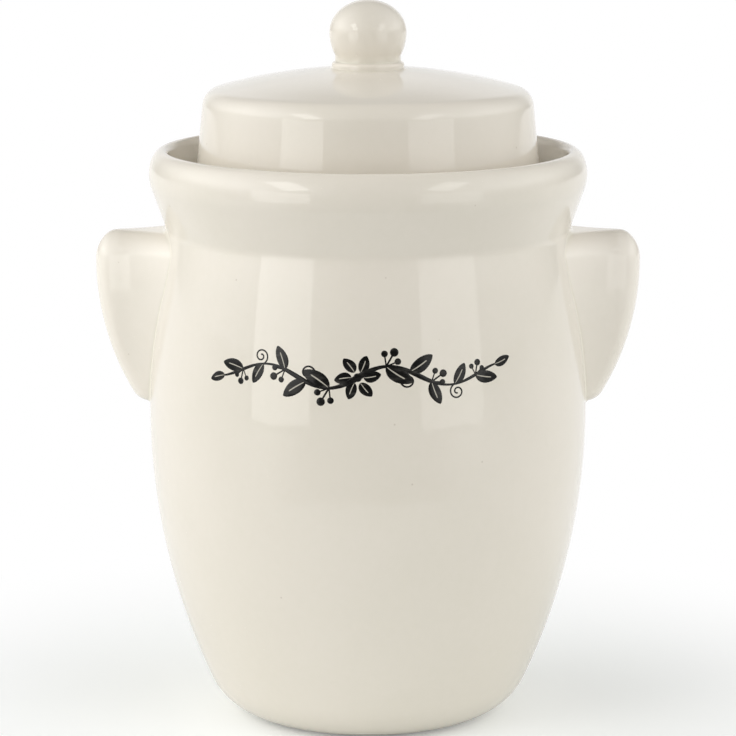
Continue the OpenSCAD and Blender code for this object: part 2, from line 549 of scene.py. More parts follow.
def open_group(name: str, kind: str, inputs: dict[str, tuple], outputs: dict[str, str]) -> Tree:
    """Makes a node group with named sockets.

    Args:
        name: Name of the group.
        kind: Type of the node tree.
        inputs: For each input its name, with its socket type and default value.
        outputs: For each output its name and socket type.

    Returns:
        The group's tree, without any nodes yet.
    """
    group = bpy.data.node_groups.new(name, kind)
    for label, (socket, value) in inputs.items():
        made = group.interface.new_socket(label, in_out="INPUT", socket_type=socket)
        if value is not None:
            made.default_value = value
    for label, socket in outputs.items():
        group.interface.new_socket(label, in_out="OUTPUT", socket_type=socket)
    return Tree(group)


FLOAT = "NodeSocketFloat"
COLOUR = "NodeSocketColor"
VECTOR = "NodeSocketVector"
GEOMETRY = "NodeSocketGeometry"
WHITE = (1.0, 1.0, 1.0, 1.0)


# Finishes


@cache
def glaze_colour_group() -> bpy.types.NodeTree:
    """Colour of a glaze: soft clouds, a fine mottle, thin edges, hollows darkened by pooled glaze
    and painted shade, and rare specks.

    Returns:
        The node group.
    """
    made = open_group(
        "glaze_colour",
        "ShaderNodeTree",
        {
            "Place": (VECTOR, None),
            "Glaze": (COLOUR, WHITE),
            "Thin": (COLOUR, WHITE),
            "Full": (COLOUR, WHITE),
            "Speck": (COLOUR, WHITE),
            "Run": (FLOAT, 0.0),
            "Cloud Scale": (FLOAT, 12.0),
            "Cloud Share": (FLOAT, 0.7),
            "Mottle Scale": (FLOAT, 260.0),
            "Mottle Share": (FLOAT, 0.3),
            "Shade Low": (FLOAT, 0.3),
            "Shade High": (FLOAT, 0.75),
            "Shade Strength": (FLOAT, 0.5),
            "Hollow Start": (FLOAT, 0.05),
            "Hollow Full": (FLOAT, 0.8),
            "Edge Start": (FLOAT, 0.1),
            "Edge Full": (FLOAT, 1.0),
            "Run Mottle": (FLOAT, 0.9),
            "Run Least": (FLOAT, 0.4),
            "Speck Scale": (FLOAT, 260.0),
            "Speck Share": (FLOAT, 0.012),
            "Speck Rim": (FLOAT, 0.16),
            "Speck Core": (FLOAT, 0.05),
            "Speck Strength": (FLOAT, 0.3),
        },
        {"Color": COLOUR},
    )
    given = made.add("NodeGroupInput").outputs
    cloud = made.noise(given["Place"], given["Cloud Scale"], detail=3.0, rough=0.55)
    mottle = made.noise(given["Place"], given["Mottle Scale"], detail=4.0, rough=0.6)
    shade = made.times(mottle, given["Mottle Share"])
    shade = made.line(cloud, given["Cloud Share"], shade)
    shade = made.ease(shade, given["Shade Low"], given["Shade High"])
    shade = made.times(shade, given["Shade Strength"])
    colour = made.mix(shade, given["Glaze"], given["Full"])
    uneven = made.line(mottle, given["Run Mottle"], given["Run Least"])
    edge = made.times(given["Run"], uneven)
    # Hollows take the darker Full colour: pooled glaze, and painted shade in the creases.
    hollow = made.times(edge, -1.0)
    hollow = made.ease(hollow, given["Hollow Start"], given["Hollow Full"])
    colour = made.mix(hollow, colour, given["Full"])
    edge = made.ease(edge, given["Edge Start"], given["Edge Full"])
    colour = made.mix(edge, colour, given["Thin"])
    cells = made.add(
        "ShaderNodeTexVoronoi", {"Vector": given["Place"], "Scale": given["Speck Scale"]}
    )
    chosen = made.add("ShaderNodeSeparateColor", {"Color": cells.outputs["Color"]}).outputs[0]
    rare = made.math("LESS_THAN", chosen, given["Speck Share"])
    spot = made.ease(cells.outputs["Distance"], given["Speck Rim"], given["Speck Core"])
    speck = made.times(made.times(rare, spot), given["Speck Strength"])
    made.add("NodeGroupOutput", {"Color": made.mix(speck, colour, given["Speck"])})
    return made.tree


@cache
def glaze_skin_group() -> bpy.types.NodeTree:
    """Surface of a glaze: the slow swell of the clay, orange peel and pinholes.

    Returns:
        The node group.
    """
    made = open_group(
        "glaze_skin",
        "ShaderNodeTree",
        {
            "Place": (VECTOR, None),
            "Swell Scale": (FLOAT, 28.0),
            "Peel Scale": (FLOAT, 210.0),
            "Peel Share": (FLOAT, 0.05),
            "Peel Low": (FLOAT, 0.35),
            "Peel High": (FLOAT, 0.75),
            "Peel Roughness": (FLOAT, 0.02),
            "Pit Scale": (FLOAT, 420.0),
            "Pit Share": (FLOAT, 0.02),
            "Pit Rim": (FLOAT, 0.22),
            "Pit Core": (FLOAT, 0.08),
            "Pit Depth": (FLOAT, 0.2),
            "Pit Roughness": (FLOAT, 0.3),
            "Roughness": (FLOAT, 0.08),
        },
        {"Height": FLOAT, "Roughness": FLOAT},
    )
    given = made.add("NodeGroupInput").outputs
    swell = made.noise(given["Place"], given["Swell Scale"], detail=1.0)
    peel = made.noise(given["Place"], given["Peel Scale"], detail=2.0, rough=0.4)
    cells = made.add(
        "ShaderNodeTexVoronoi", {"Vector": given["Place"], "Scale": given["Pit Scale"]}
    )
    chosen = made.add("ShaderNodeSeparateColor", {"Color": cells.outputs["Color"]}).outputs[1]
    rare = made.math("LESS_THAN", chosen, given["Pit Share"])
    pit = made.ease(cells.outputs["Distance"], given["Pit Rim"], given["Pit Core"])
    pit = made.times(rare, pit)
    height = made.line(peel, given["Peel Share"], swell)
    height = made.math("SUBTRACT", height, made.times(pit, given["Pit Depth"]))
    rough = made.ease(peel, given["Peel Low"], given["Peel High"])
    rough = made.line(rough, given["Peel Roughness"], given["Roughness"])
    rough = made.line(pit, given["Pit Roughness"], rough)
    made.add("NodeGroupOutput", {"Height": height, "Roughness": rough})
    return made.tree


@cache
def clay_grain_group() -> bpy.types.NodeTree:
    """Grain of bare clay: sand that shows as dark and pale grains, and a rough skin.

    Returns:
        The node group.
    """
    made = open_group(
        "clay_grain",
        "ShaderNodeTree",
        {
            "Place": (VECTOR, None),
            "Clay": (COLOUR, WHITE),
            "Sand": (COLOUR, WHITE),
            "Grain Scale": (FLOAT, 900.0),
            "Grain Share": (FLOAT, 0.6),
            "Patch Scale": (FLOAT, 60.0),
            "Patch Share": (FLOAT, 0.5),
            "Sand Start": (FLOAT, 0.4),
            "Sand Full": (FLOAT, 0.75),
        },
        {"Color": COLOUR, "Height": FLOAT},
    )
    given = made.add("NodeGroupInput").outputs
    grain = made.noise(given["Place"], given["Grain Scale"], detail=5.0, rough=0.7)
    patch = made.noise(given["Place"], given["Patch Scale"], detail=3.0)
    share = made.times(patch, given["Patch Share"])
    share = made.line(grain, given["Grain Share"], share)
    share = made.ease(share, given["Sand Start"], given["Sand Full"])
    colour = made.mix(share, given["Clay"], given["Sand"])
    made.add("NodeGroupOutput", {"Color": colour, "Height": grain})
    return made.tree


@dataclass(frozen=True)
class Glaze:
    """A glossy stoneware glaze.

    Attributes:
        name: Name of the material.
        glaze: Its usual colour.
        thin: Its colour where it is thin, on edges.
        full: Its colour where it lies thick, in clouds and in hollows, where it also paints the
            shade of the creases.
        speck: Colour of the rare iron specks.
        roughness: Roughness of its smoothest parts.
        swell: Height of its slow unevenness.
        offset: Where its pattern starts, so that pieces differ.
    """

    name: str
    glaze: Colour = (0.780, 0.730, 0.645)
    thin: Colour = (0.800, 0.745, 0.655)
    full: Colour = (0.725, 0.685, 0.585)
    speck: Colour = (0.30, 0.22, 0.14)
    roughness: float = 0.03
    swell: float = 0.28 * MM
    offset: Colour = (0.0, 0.0, 0.0)

    def make(self) -> bpy.types.Material:
        """Makes the material.

        Returns:
            The material.
        """
        material, tree = open_material(self.name)
        place = tree.add("ShaderNodeTexCoord").outputs["Object"]
        place = tree.add("ShaderNodeMapping", {"Vector": place, "Location": self.offset}).outputs[0]
        # The run mask darkens hollows towards the full colour: pooled glaze and painted shade.
        run = tree.add("ShaderNodeAttribute", attribute_name="run").outputs["Fac"]
        colour = tree.group(
            glaze_colour_group,
            {
                "Place": place,
                "Glaze": self.glaze,
                "Thin": self.thin,
                "Full": self.full,
                "Speck": self.speck,
                "Run": run,
            },
        )
        surface = tree.group(glaze_skin_group, {"Place": place, "Roughness": self.roughness})
        tree.principled(
            {
                "Base Color": colour.outputs["Color"],
                "Roughness": surface.outputs["Roughness"],
                "IOR": GLAZE_IOR,
                "Normal": tree.bump(surface.outputs["Height"], self.swell),
            }
        )
        return material


@dataclass(frozen=True)
class BareClay:
    """Fired stoneware without glaze, on the rings that stand on something.

    Attributes:
        name: Name of the material.
        clay: Colour of the clay.
        sand: Colour of its sand.
        grain: Height of its grain.
        roughness: Its roughness.
    """

    name: str = "bare_clay"
    clay: Colour = (0.47, 0.38, 0.28)
    sand: Colour = (0.62, 0.53, 0.41)
    grain: float = 0.08 * MM
    roughness: float = 0.85

    def make(self) -> bpy.types.Material:
        """Makes the material.

        Returns:
            The material.
        """
        material, tree = open_material(self.name)
        place = tree.add("ShaderNodeTexCoord").outputs["Object"]
        values = {"Place": place, "Clay": self.clay, "Sand": self.sand}
        surface = tree.group(clay_grain_group, values)
        tree.principled(
            {
                "Base Color": surface.outputs["Color"],
                "Roughness": self.roughness,
                "Normal": tree.bump(surface.outputs["Height"], self.grain),
            }
        )
        return material


@dataclass(frozen=True)
class Ink:
    """Black ink, brushed on by hand and fired under a clear glaze.

    Attributes:
        name: Name of the material.
        dark: Its colour where it is full.
        grey: Its colour where the brush ran dry.
        vein: Colour of the glaze that shows in the midribs of the leaves.
        brush_lean: Lean of the brush marks, in radians.
        brush_scale: Scale of the brush marks.
        brush_length: How many times as long as wide they are.
        dry_start: Noise level at which the brush starts to run dry.
        dry_full: Noise level at which it is dry.
        rib_start: Height of the ridge at which a midrib starts.
        rib_full: Height of the ridge at which it shows fully.
        grain_scale: Scale of the ink's fine grain.
        grain: Height of that grain.
        grain_strength: Strength of that grain.
        wet_roughness: Roughness where it is full.
        dry_roughness: Roughness that the dry brush adds.
        shine: Its specular level.
    """

    name: str = "ink"
    dark: Colour = (0.004, 0.004, 0.0035)
    grey: Colour = (0.040, 0.038, 0.034)
    vein: Colour = (0.50, 0.47, 0.40)
    brush_lean: float = 0.6
    brush_scale: float = 130.0
    brush_length: float = 3.0
    dry_start: float = 0.45
    dry_full: float = 0.8
    rib_start: float = 0.88
    rib_full: float = 0.96
    grain_scale: float = 700.0
    grain: float = 0.03 * MM
    grain_strength: float = 0.6
    wet_roughness: float = 0.12
    dry_roughness: float = 0.25
    shine: float = 0.25

    def make(self) -> bpy.types.Material:
        """Makes the material.

        Returns:
            The material.
        """
        material, tree = open_material(self.name)
        place = tree.add("ShaderNodeTexCoord").outputs["Object"]
        values = {
            "Vector": place,
            "Rotation": (0.0, self.brush_lean, 0.0),
            "Scale": (1.0, 1.0, self.brush_length),
        }
        stroke = tree.add("ShaderNodeMapping", values).outputs[0]
        marks = tree.noise(stroke, self.brush_scale, detail=3.0, rough=0.6)
        dry = tree.ease(marks, self.dry_start, self.dry_full)
        ridge = tree.add("ShaderNodeAttribute", attribute_name="ridge").outputs["Fac"]
        midrib = tree.ease(ridge, self.rib_start, self.rib_full)
        grain = tree.noise(place, self.grain_scale, detail=2.0)
        tree.principled(
            {
                "Base Color": tree.mix(midrib, tree.mix(dry, self.dark, self.grey), self.vein),
                "Roughness": tree.line(dry, self.dry_roughness, self.wet_roughness),
                "IOR": GLAZE_IOR,
                "Specular IOR Level": self.shine,
                "Normal": tree.bump(grain, self.grain, self.grain_strength),
            }
        )
        return material


# Pieces


@dataclass
class Crock:
    """The crock: base, belly, shoulder and neck, with the gutter floor and the lip of the mouth.

    Attributes:
        belly_r: Outer radius at the belly.
        belly_z: Height of the belly.
        side_curve_r: Radius of the curve below the belly.
        bottom_edge_r: Radius of the rounded bottom edge.
        neck_r: Radius of the neck.
        neck_z: Height of the neck and of the gutter floor.
        wall_t: Thickness of the wall, and of the shoulder under the gutter.
        base_t: Thickness of the base.
        floor_edge_r: Radius between floor and wall, inside.
        shoulder_edge_r: Radius between wall and shoulder, inside.
        foot_ring_w: Width of the ring that the crock stands on.
        foot_hollow_h: Depth of the hollow inside that ring.
        foot_in_r: Radius of the ring's inner edge.
        foot_out_r: Radius of the ring's outer edge.
        mouth_r: Radius of the mouth.
        lip_t: Thickness of the lip.
        lip_h: Height of the lip above the gutter floor.
        neck_fillet_r: Radius of the hollow between shoulder and collar.
        gutter_fillet_r: Radius of the gutter's corners.
        bare_z: Height below which the foot has no glaze.
    """

    belly_r: float = 101 * MM
    belly_z: float = 142 * MM
    side_curve_r: float = 302 * MM
    bottom_edge_r: float = 29 * MM
    neck_r: float = 92.5 * MM
    neck_z: float = 226.5 * MM
    wall_t: float = 8 * MM
    base_t: float = 9 * MM
    floor_edge_r: float = 20 * MM
    shoulder_edge_r: float = 10 * MM
    foot_ring_w: float = 8 * MM
    foot_hollow_h: float = 1.8 * MM
    foot_in_r: float = 3 * MM
    foot_out_r: float = 1 * MM
    mouth_r: float = 63 * MM
    lip_t: float = 6 * MM
    lip_h: float = 30 * MM
    neck_fillet_r: float = 7 * MM
    gutter_fillet_r: float = 2.5 * MM
    bare_z: float = 0.5 * MM

    @property
    def shoulder_curve_r(self) -> float:
        """Radius of the curve from the belly up to the neck."""
        inwards = self.belly_r - self.neck_r
        return (inwards**2 + (self.neck_z - self.belly_z) ** 2) / (2 * inwards)

    @property
    def side_centre(self) -> Point:
        """Centre of the curve below the belly."""
        return self.belly_r - self.side_curve_r, self.belly_z

    @property
    def shoulder_centre(self) -> Point:
        """Centre of the curve above the belly."""
        return self.belly_r - self.shoulder_curve_r, self.belly_z

    def neck_hollow(self, flare: float) -> Point:
        """Centre of the hollow that joins the shoulder to the collar.

        Args:
            flare: Angle of the collar's outer side, in degrees.

        Returns:
            The centre of the hollow's circle.
        """
        along = np.array(polar((0.0, 0.0), 1.0, flare))
        out = np.array([along[1], -along[0]])
        start = np.array([self.neck_r, self.neck_z]) + self.neck_fillet_r * out
        gap = start - np.array(self.shoulder_centre)
        reach = self.shoulder_curve_r + self.neck_fillet_r
        ahead = gap @ along
        run = math.sqrt(ahead**2 - gap @ gap + reach**2) - ahead
        return tuple(start + run * along)

    def edge_centre(self, centre: Point, curve_r: float, radius: float, height: float) -> Point:
        """Centre of a rounded edge that touches a big curve from inside.

        Args:
            centre: Centre of the big curve.
            curve_r: Radius of the big curve.
            radius: Radius of the edge.
            height: Height of the edge's centre.

        Returns:
            The edge's centre.
        """
        across = math.sqrt((curve_r - radius) ** 2 - (height - centre[1]) ** 2)
        return centre[0] + across, height

    def outside(self, outline: Outline, hollow: Point) -> Outline:
        """Adds the outside, from the foot ring up to the narrowest line of the neck.

        Args:
            outline: The outline to add to.
            hollow: Centre of the neck's hollow.

        Returns:
            The same outline.
        """
        edge = self.edge_centre(
            self.side_centre, self.side_curve_r, self.bottom_edge_r, self.bottom_edge_r
        )
        turn = angle_to(self.side_centre, edge)
        last = angle_to(self.shoulder_centre, hollow)
        outline.arc(edge, self.bottom_edge_r, -90, turn)
        outline.arc(self.side_centre, self.side_curve_r, turn, 0)
        outline.arc(self.shoulder_centre, self.shoulder_curve_r, 0, last)
        seam = 180 + outline.SEAM_TURN
        outline.arc(hollow, self.neck_fillet_r, 180 + last, seam)
        return outline.to(polar(hollow, self.neck_fillet_r, 180), corner=True)

    def inside(self, outline: Outline) -> Outline:
        """Adds the inside, from the mouth down to the middle of the floor.

        Args:
            outline: The outline to add to.

        Returns:
            The same outline.
        """
        ceiling = self.neck_z - self.wall_t
        upper_r = self.shoulder_curve_r - self.wall_t
        lower_r = self.side_curve_r - self.wall_t
        top = self.edge_centre(
            self.shoulder_centre, upper_r, self.shoulder_edge_r, ceiling - self.shoulder_edge_r
        )
        low = self.edge_centre(
            self.side_centre, lower_r, self.floor_edge_r, self.base_t + self.floor_edge_r
        )
        turns = angle_to(self.shoulder_centre, top), angle_to(self.side_centre, low)
        outline.arc(top, self.shoulder_edge_r, 90, turns[0])
        outline.arc(self.shoulder_centre, upper_r, turns[0], 0)
        outline.arc(self.side_centre, lower_r, 0, turns[1])
        outline.arc(low, self.floor_edge_r, turns[1], -90)
        return outline.to((low[0] / 2, self.base_t), (0.0, self.base_t))

    def outline(self, flare: float, collar_mid_r: float) -> Outline:
        """The whole half section.

        Args:
            flare: Angle of the collar's outer side.
            collar_mid_r: Radius of the middle of the collar's foot.

        Returns:
            The outline.
        """
        hollow = self.neck_hollow(flare)
        foot_out = self.edge_centre(
            self.side_centre, self.side_curve_r, self.bottom_edge_r, self.bottom_edge_r
        )[0]
        foot_in = foot_out - self.foot_ring_w
        lip_out = self.mouth_r + self.lip_t
        lip_r = self.lip_t / 2
        lip_z = self.neck_z + self.lip_h - lip_r
        bed = foot_in - 2 * self.foot_hollow_h, self.foot_hollow_h
        made = Outline([(0.0, self.foot_hollow_h)])
        made.to((bed[0] / 2, bed[1]))
        made.bend(bed, (foot_in, 0.0), self.foot_in_r)
        made.bend((foot_in, 0.0), (foot_out, 0.0), self.foot_out_r)
        self.outside(made, hollow)
        made.to((collar_mid_r, hollow[1]), (collar_mid_r, self.neck_z), corner=True)
        made.bend((lip_out, self.neck_z), (lip_out, lip_z), self.gutter_fillet_r)
        made.arc((self.mouth_r + lip_r, lip_z), lip_r, 0, 180)
        ceiling = self.neck_z - self.wall_t
        made.arc((self.mouth_r + lip_r, ceiling + lip_r), lip_r, 180, 270)
        return self.inside(made)

    def build(self, flare: float, collar_mid_r: float, finishes: Finishes) -> bpy.types.Object:
        """Builds and dresses the crock.

        Args:
            flare: Angle of the collar's outer side.
            collar_mid_r: Radius of the middle of the collar's foot.
            finishes: Its glaze and its bare clay.

        Returns:
            The piece.
        """
        piece = turned("glazed_crock", self.outline(flare, collar_mid_r))
        repaint(piece, 1, lambda at: at[:, 2] < self.bare_z)
        settle(piece, Body.CROCK, finishes, ("crock_body",))
        return piece


@dataclass
class Collar:
    """The flared collar that makes the gutter round the mouth.

    Attributes:
        crock: The crock that it stands on.
        foot_t: Thickness at its foot.
        height: Height from the neck to its crest.
        flare_out: How far its widest line stands out from the neck.
        crest_rise: Height of the crest above that line.
        crest_in: How far in from that line the crest is.
        crest_t: Thickness at that line.
        crest_round_h: Height over which the inner side rounds.
    """

    crock: Crock
    foot_t: float = 8 * MM
    height: float = 36.9 * MM
    flare_out: float = 8 * MM
    crest_rise: float = 11.2 * MM
    crest_in: float = 6.5 * MM
    crest_t: float = 9.6 * MM
    crest_round_h: float = 5 * MM

    @property
    def crest(self) -> Point:
        """The top of the crest."""
        return self.crock.neck_r + self.flare_out - self.crest_in, self.crock.neck_z + self.height

    @property
    def inner_r(self) -> float:
        """Radius of the collar's inner side at its foot."""
        return self.crock.neck_r - self.foot_t

    @property
    def foot_mid_r(self) -> float:
        """Radius of the middle of its foot."""
        return self.crock.neck_r - self.foot_t / 2

    @staticmethod
    def touch(start: Point, centre: Point, radii: Point, side: int) -> float:
        """Angle round an upright oval at which a line from a point touches it.

        Args:
            start: The point.
            centre: Centre of the oval.
            radii: Its radii.
            side: 1 for the oval's left as seen from the point, -1 for its right.

        Returns:
            The angle in degrees.
        """
        gap = (centre[0] - start[0]) / radii[0], (centre[1] - start[1]) / radii[1]
        lean = math.degrees(math.asin(1 / math.hypot(*gap))) + 90
        return angle_to((0.0, 0.0), gap) + side * lean

    def outer_oval(self) -> tuple[Point, Point, float]:
        """Centre and radii of the crest's outer oval, and the angle at which it starts."""
        centre = self.crest[0], self.crest[1] - self.crest_rise
        radii = self.crest_in, self.crest_rise
        start = self.touch((self.crock.neck_r, self.crock.neck_z), centre, radii, -1)
        return centre, radii, start

    def outer_touch(self) -> Point:
        """Point at which the straight outer side runs into that oval."""
        centre, radii, start = self.outer_oval()
        turn = math.radians(start)
        return centre[0] + radii[0] * math.cos(turn), centre[1] + radii[1] * math.sin(turn)

    @property
    def flare(self) -> float:
        """Angle of the collar's outer side, in degrees."""
        return angle_to((self.crock.neck_r, self.crock.neck_z), self.outer_touch())

    def outer(self, outline: Outline) -> Outline:
        """Adds the outer side, from the neck's narrowest line up to the crest.

        Args:
            outline: The outline to add to.

        Returns:
            The same outline.
        """
        hollow = self.crock.neck_hollow(self.flare)
        radius = self.crock.neck_fillet_r
        centre, radii, start = self.outer_oval()
        seam = 180 - outline.SEAM_TURN
        outline.to(polar(hollow, radius, 180))
        outline.arc(hollow, radius, seam, self.flare + 90)
        touch = self.outer_touch()
        steps = math.ceil(math.dist(outline.points[-1], touch) / outline.STEP)
        return outline.straight(touch, steps).oval(centre, radii, start, 90)

    def outline(self) -> Outline:
        """The whole section, as a ring.

        Returns:
            The outline.
        """
        made = self.outer(Outline())
        floor_z = self.crock.neck_z
        inner_c = self.crest[0], self.crest[1] - self.crest_round_h
        inner_radii = self.crest_t - self.crest_in, self.crest_round_h
        end = self.touch((self.inner_r, floor_z), inner_c, inner_radii, 1)
        made.oval(inner_c, inner_radii, 90, end)
        toe = 0.0, floor_z
        made.bend((self.inner_r, floor_z), toe, self.crock.gutter_fillet_r)
        made.corners.append(len(made.points) - 1)
        made.to((self.foot_mid_r, floor_z), corner=True)
        made.to((self.foot_mid_r, self.crock.neck_hollow(self.flare)[1]), corner=True)
        made.corners.append(0)
        return made

    def build(self, finishes: Finishes) -> None:
        """Builds and dresses the collar.

        Args:
            finishes: Its glaze.
        """
        piece = turned("glazed_collar", self.outline(), wrap=True)
        settle(piece, Body.CROCK, finishes, ("gutter_collar",))


@dataclass
class LugHandle:
    """A solid lug handle, luted to the wall below the neck.

    Attributes:
        side: The side of the pot that it is on.
        crock: The crock that it is stuck to.
        collar: The collar above it.
        out: How far it stands out from the belly.
        height: Height from its foot to its head.
        drop: Gap between its head and the neck line.
        waist_w: Width at its waist, where its sides stop flaring out to the wall.
        waist_out: How far out from the belly the waist is.
        taper: Slope of each side at the waist.
        foot_w: Width of the waist at its foot.
        narrowing: How late it narrows on the way down to its foot, as a power.
        wide_drop: How far below its head it is widest.
        head_lean: How far each side draws in from there up to the head.
        head_r: Radius that rounds its head towards its outer face.
        head_side_r: Radius that rounds its head towards its sides.
        foot_r: Radius that rounds its foot.
        edge_r: Radius of the edges of its outer face.
        face_curve_r: Radius of the curve of its outer face, seen from the front.
        side_curve_r: Radius of the sides' outward curve beyond the waist, seen from above.
        root_curve_r: Radius of their hollow curve from the waist to the wall, at the head.
        luting_r: Radius of the luted crease along the wall.
        sink: How far its rim is sunk into the wall.
        middle_r: Radius of the point inside the wall from which its paths fan out.
        middle_share: How far down that point is, as a share of its height.
        widest_tilt: Largest angle of the fan, in degrees.
        reach: Distance that is surely outside it, from that point.
        probe: Distance over which the slope of its field is taken.
        rays: Number of paths from the middle of its face to the wall.
        steps: Number of steps along each path.
        fine_steps: Number of steps along a path before it is evened out.
        halvings: Number of halvings that find its surface.
        crease_steps: Number of steps through the crease.
    """

    side: Side
    crock: Crock
    collar: Collar
    out: float = 24.3 * MM
    height: float = 79 * MM
    drop: float = 0.5 * MM
    waist_w: float = 30 * MM
    waist_out: float = 13 * MM
    taper: float = 0.33
    foot_w: float = 10 * MM
    narrowing: float = 1.5
    wide_drop: float = 25 * MM
    head_lean: float = 4.2 * MM
    head_r: float = 13 * MM
    head_side_r: float = 9.5 * MM
    foot_r: float = 3.5 * MM
    edge_r: float = 6.5 * MM
    face_curve_r: float = 125 * MM
    side_curve_r: float = 30 * MM
    root_curve_r: float = 32 * MM
    luting_r: float = 1.8 * MM
    sink: float = 0.4 * MM
    middle_r: float = 80 * MM
    middle_share: float = 0.38
    widest_tilt: float = 89.0
    reach: float = 200 * MM
    probe: float = 0.05 * MM
    rays: int = 200
    steps: int = 60
    fine_steps: int = 400
    halvings: int = 40
    crease_steps: int = 8

    @property
    def top_z(self) -> float:
        """Height of its head."""
        return self.crock.neck_z - self.drop

    @property
    def foot_z(self) -> float:
        """Height of its foot."""
        return self.top_z - self.height

    @staticmethod
    def rounded(a: np.ndarray, b: np.ndarray, radius: float) -> np.ndarray:
        """Distance field of what lies inside both fields, with their edge rounded by a radius."""
        corner = np.hypot(np.maximum(a + radius, 0), np.maximum(b + radius, 0))
        return np.minimum(np.maximum(a, b), -radius) + corner

    def depth(self, at: np.ndarray) -> np.ndarray:
        """Distance field of the lug, negative inside, for a handle on the +X side.

        Args:
            at: Places, one row each.

        Returns:
            The field's value at each place.
        """
        x, y, z = at[..., 0], np.abs(at[..., 1]), at[..., 2]
        wide_z = self.top_z - self.wide_drop
        down = np.clip((wide_z - z) / (wide_z - self.foot_z), 0, 1)
        above = np.maximum(z - wide_z, 0) / self.wide_drop
        half = (self.waist_w - (self.waist_w - self.foot_w) * down**self.narrowing) / 2
        half = half - self.head_lean * above**2
        past = np.maximum(x, self.crock.neck_r - self.crock.wall_t)
        past = past - self.crock.belly_r - self.waist_out
        turn = np.where(past > 0, self.side_curve_r, (1 + down) * -self.root_curve_r)
        slope = self.taper + past / turn
        half = half - past * (self.taper + slope) / 2
        sides = (y - half) / np.hypot(1, slope)
        low = np.clip(self.top_z - self.head_r - z, 0, self.height)
        lean = self.face_curve_r - np.sqrt(self.face_curve_r**2 - low**2)
        face = x - (self.crock.belly_r + self.out - lean)
        solid = self.rounded(sides, face, self.edge_r)
        outward = np.clip(past / (self.out - self.waist_out), 0, 1)
        head_r = self.head_side_r + (self.head_r - self.head_side_r) * outward
        solid = self.rounded(solid, z - self.top_z, head_r)
        return self.rounded(solid, self.foot_z - z, self.foot_r)

    def facing(self, at: np.ndarray) -> np.ndarray:
        """Outward direction of the field at each place."""
        steps = self.probe * np.eye(3)
        slope = np.stack([self.depth(at + step) - self.depth(at - step) for step in steps], axis=-1)
        return slope / np.linalg.norm(slope, axis=-1, keepdims=True)

    def wall_line(self) -> np.ndarray:
        """Points of the wall's outline that the handle can touch, up to the crest."""
        made = self.crock.outside(Outline(), self.crock.neck_hollow(self.collar.flare))
        self.collar.outer(made)
        line = np.array(made.points)
        return line[line[:, 1] > self.foot_z - self.out]

    def nearest(self, line: np.ndarray, at: np.ndarray) -> tuple[np.ndarray, np.ndarray]:
        """Nearest point of the wall to each place, and its signed distance.

        Args:
            line: The wall's outline.
            at: Places, one row each.

        Returns:
            The nearest points, and the distances, positive outside the wall.
        """
        radius = np.hypot(at[:, 0], at[:, 1])
        flat = np.stack([radius, at[:, 2]], axis=-1)
        start, run = line[:-1], np.diff(line, axis=0)
        gap = flat[:, None, :] - start
        share = np.clip((gap * run).sum(-1) / (run**2).sum(-1), 0, 1)
        foot = start + share[..., None] * run
        away = np.linalg.norm(flat[:, None, :] - foot, axis=-1)
        best = away.argmin(axis=1)
        foot = foot[np.arange(len(flat)), best]
        away = away[np.arange(len(flat)), best]
        outside = radius > np.interp(at[:, 2], line[:, 1], line[:, 0])
        around = at[:, :2] / radius[:, None]
        touch = np.column_stack([around * foot[:, :1], foot[:, 1]])
        return touch, np.where(outside, away, -away)

    def surface_path(self, middle: np.ndarray, turn: float) -> np.ndarray:
        """Fine path over the lug's surface, from the middle of its face into the wall.

        Args:
            middle: Point inside the wall, behind the middle of the face.
            turn: Direction of the path round the middle, in radians.

        Returns:
            The path's points.
        """
        tilt = np.linspace(0, math.radians(self.widest_tilt), self.fine_steps)
        ray = np.column_stack(
            [np.cos(tilt), np.sin(tilt) * math.cos(turn), np.sin(tilt) * math.sin(turn)]
        )
        near, far = np.zeros(len(tilt)), np.full(len(tilt), self.reach)
        for _ in range(self.halvings):
            half = (near + far) / 2
            inside = self.depth(middle + ray * half[:, None]) < 0
            near = np.where(inside, half, near)
            far = np.where(inside, far, half)
        return middle + ray * near[:, None]

    def rolled(self, line: np.ndarray, middle: np.ndarray, turn: float) -> np.ndarray:
        """One path over the lug, through the luted crease and just into the wall.

        A ball of the crease's radius is rolled down the lug until it touches the wall.

        Args:
            line: The wall's outline.
            middle: Point inside the wall, behind the middle of the face.
            turn: Direction of the path round the middle, in radians.

        Returns:
            The path's points.
        """
        path = self.surface_path(middle, turn)
        ball = path + self.luting_r * self.facing(path)
        room = self.nearest(line, ball)[1] - self.luting_r
        last = int(np.argmax(room < 0))
        share = room[last - 1] / (room[last - 1] - room[last])
        end = path[last - 1] + share * (path[last] - path[last - 1])
        ball = end + self.luting_r * self.facing(end[None])[0]
        touch = self.nearest(line, ball[None])[0][0]
        path = np.vstack([path[:last], end])
        length = np.concatenate([[0], np.cumsum(np.linalg.norm(np.diff(path, axis=0), axis=1))])
        stops = np.linspace(0, length[-1], self.steps + 1)[1:]
        even = np.column_stack([np.interp(stops, length, path[:, k]) for k in range(3)])
        start, goal = (end - ball) / self.luting_r, (touch - ball) / np.linalg.norm(touch - ball)
        sweep = math.acos(float(np.clip(start @ goal, -1, 1)))
        shares = np.linspace(0, 1, self.crease_steps + 1)[1:, None]
        crease = np.sin((1 - shares) * sweep) * start + np.sin(shares * sweep) * goal
        crease = ball + self.luting_r * crease / math.sin(sweep)
        return np.vstack([even, crease, crease[-1] + self.sink * goal])

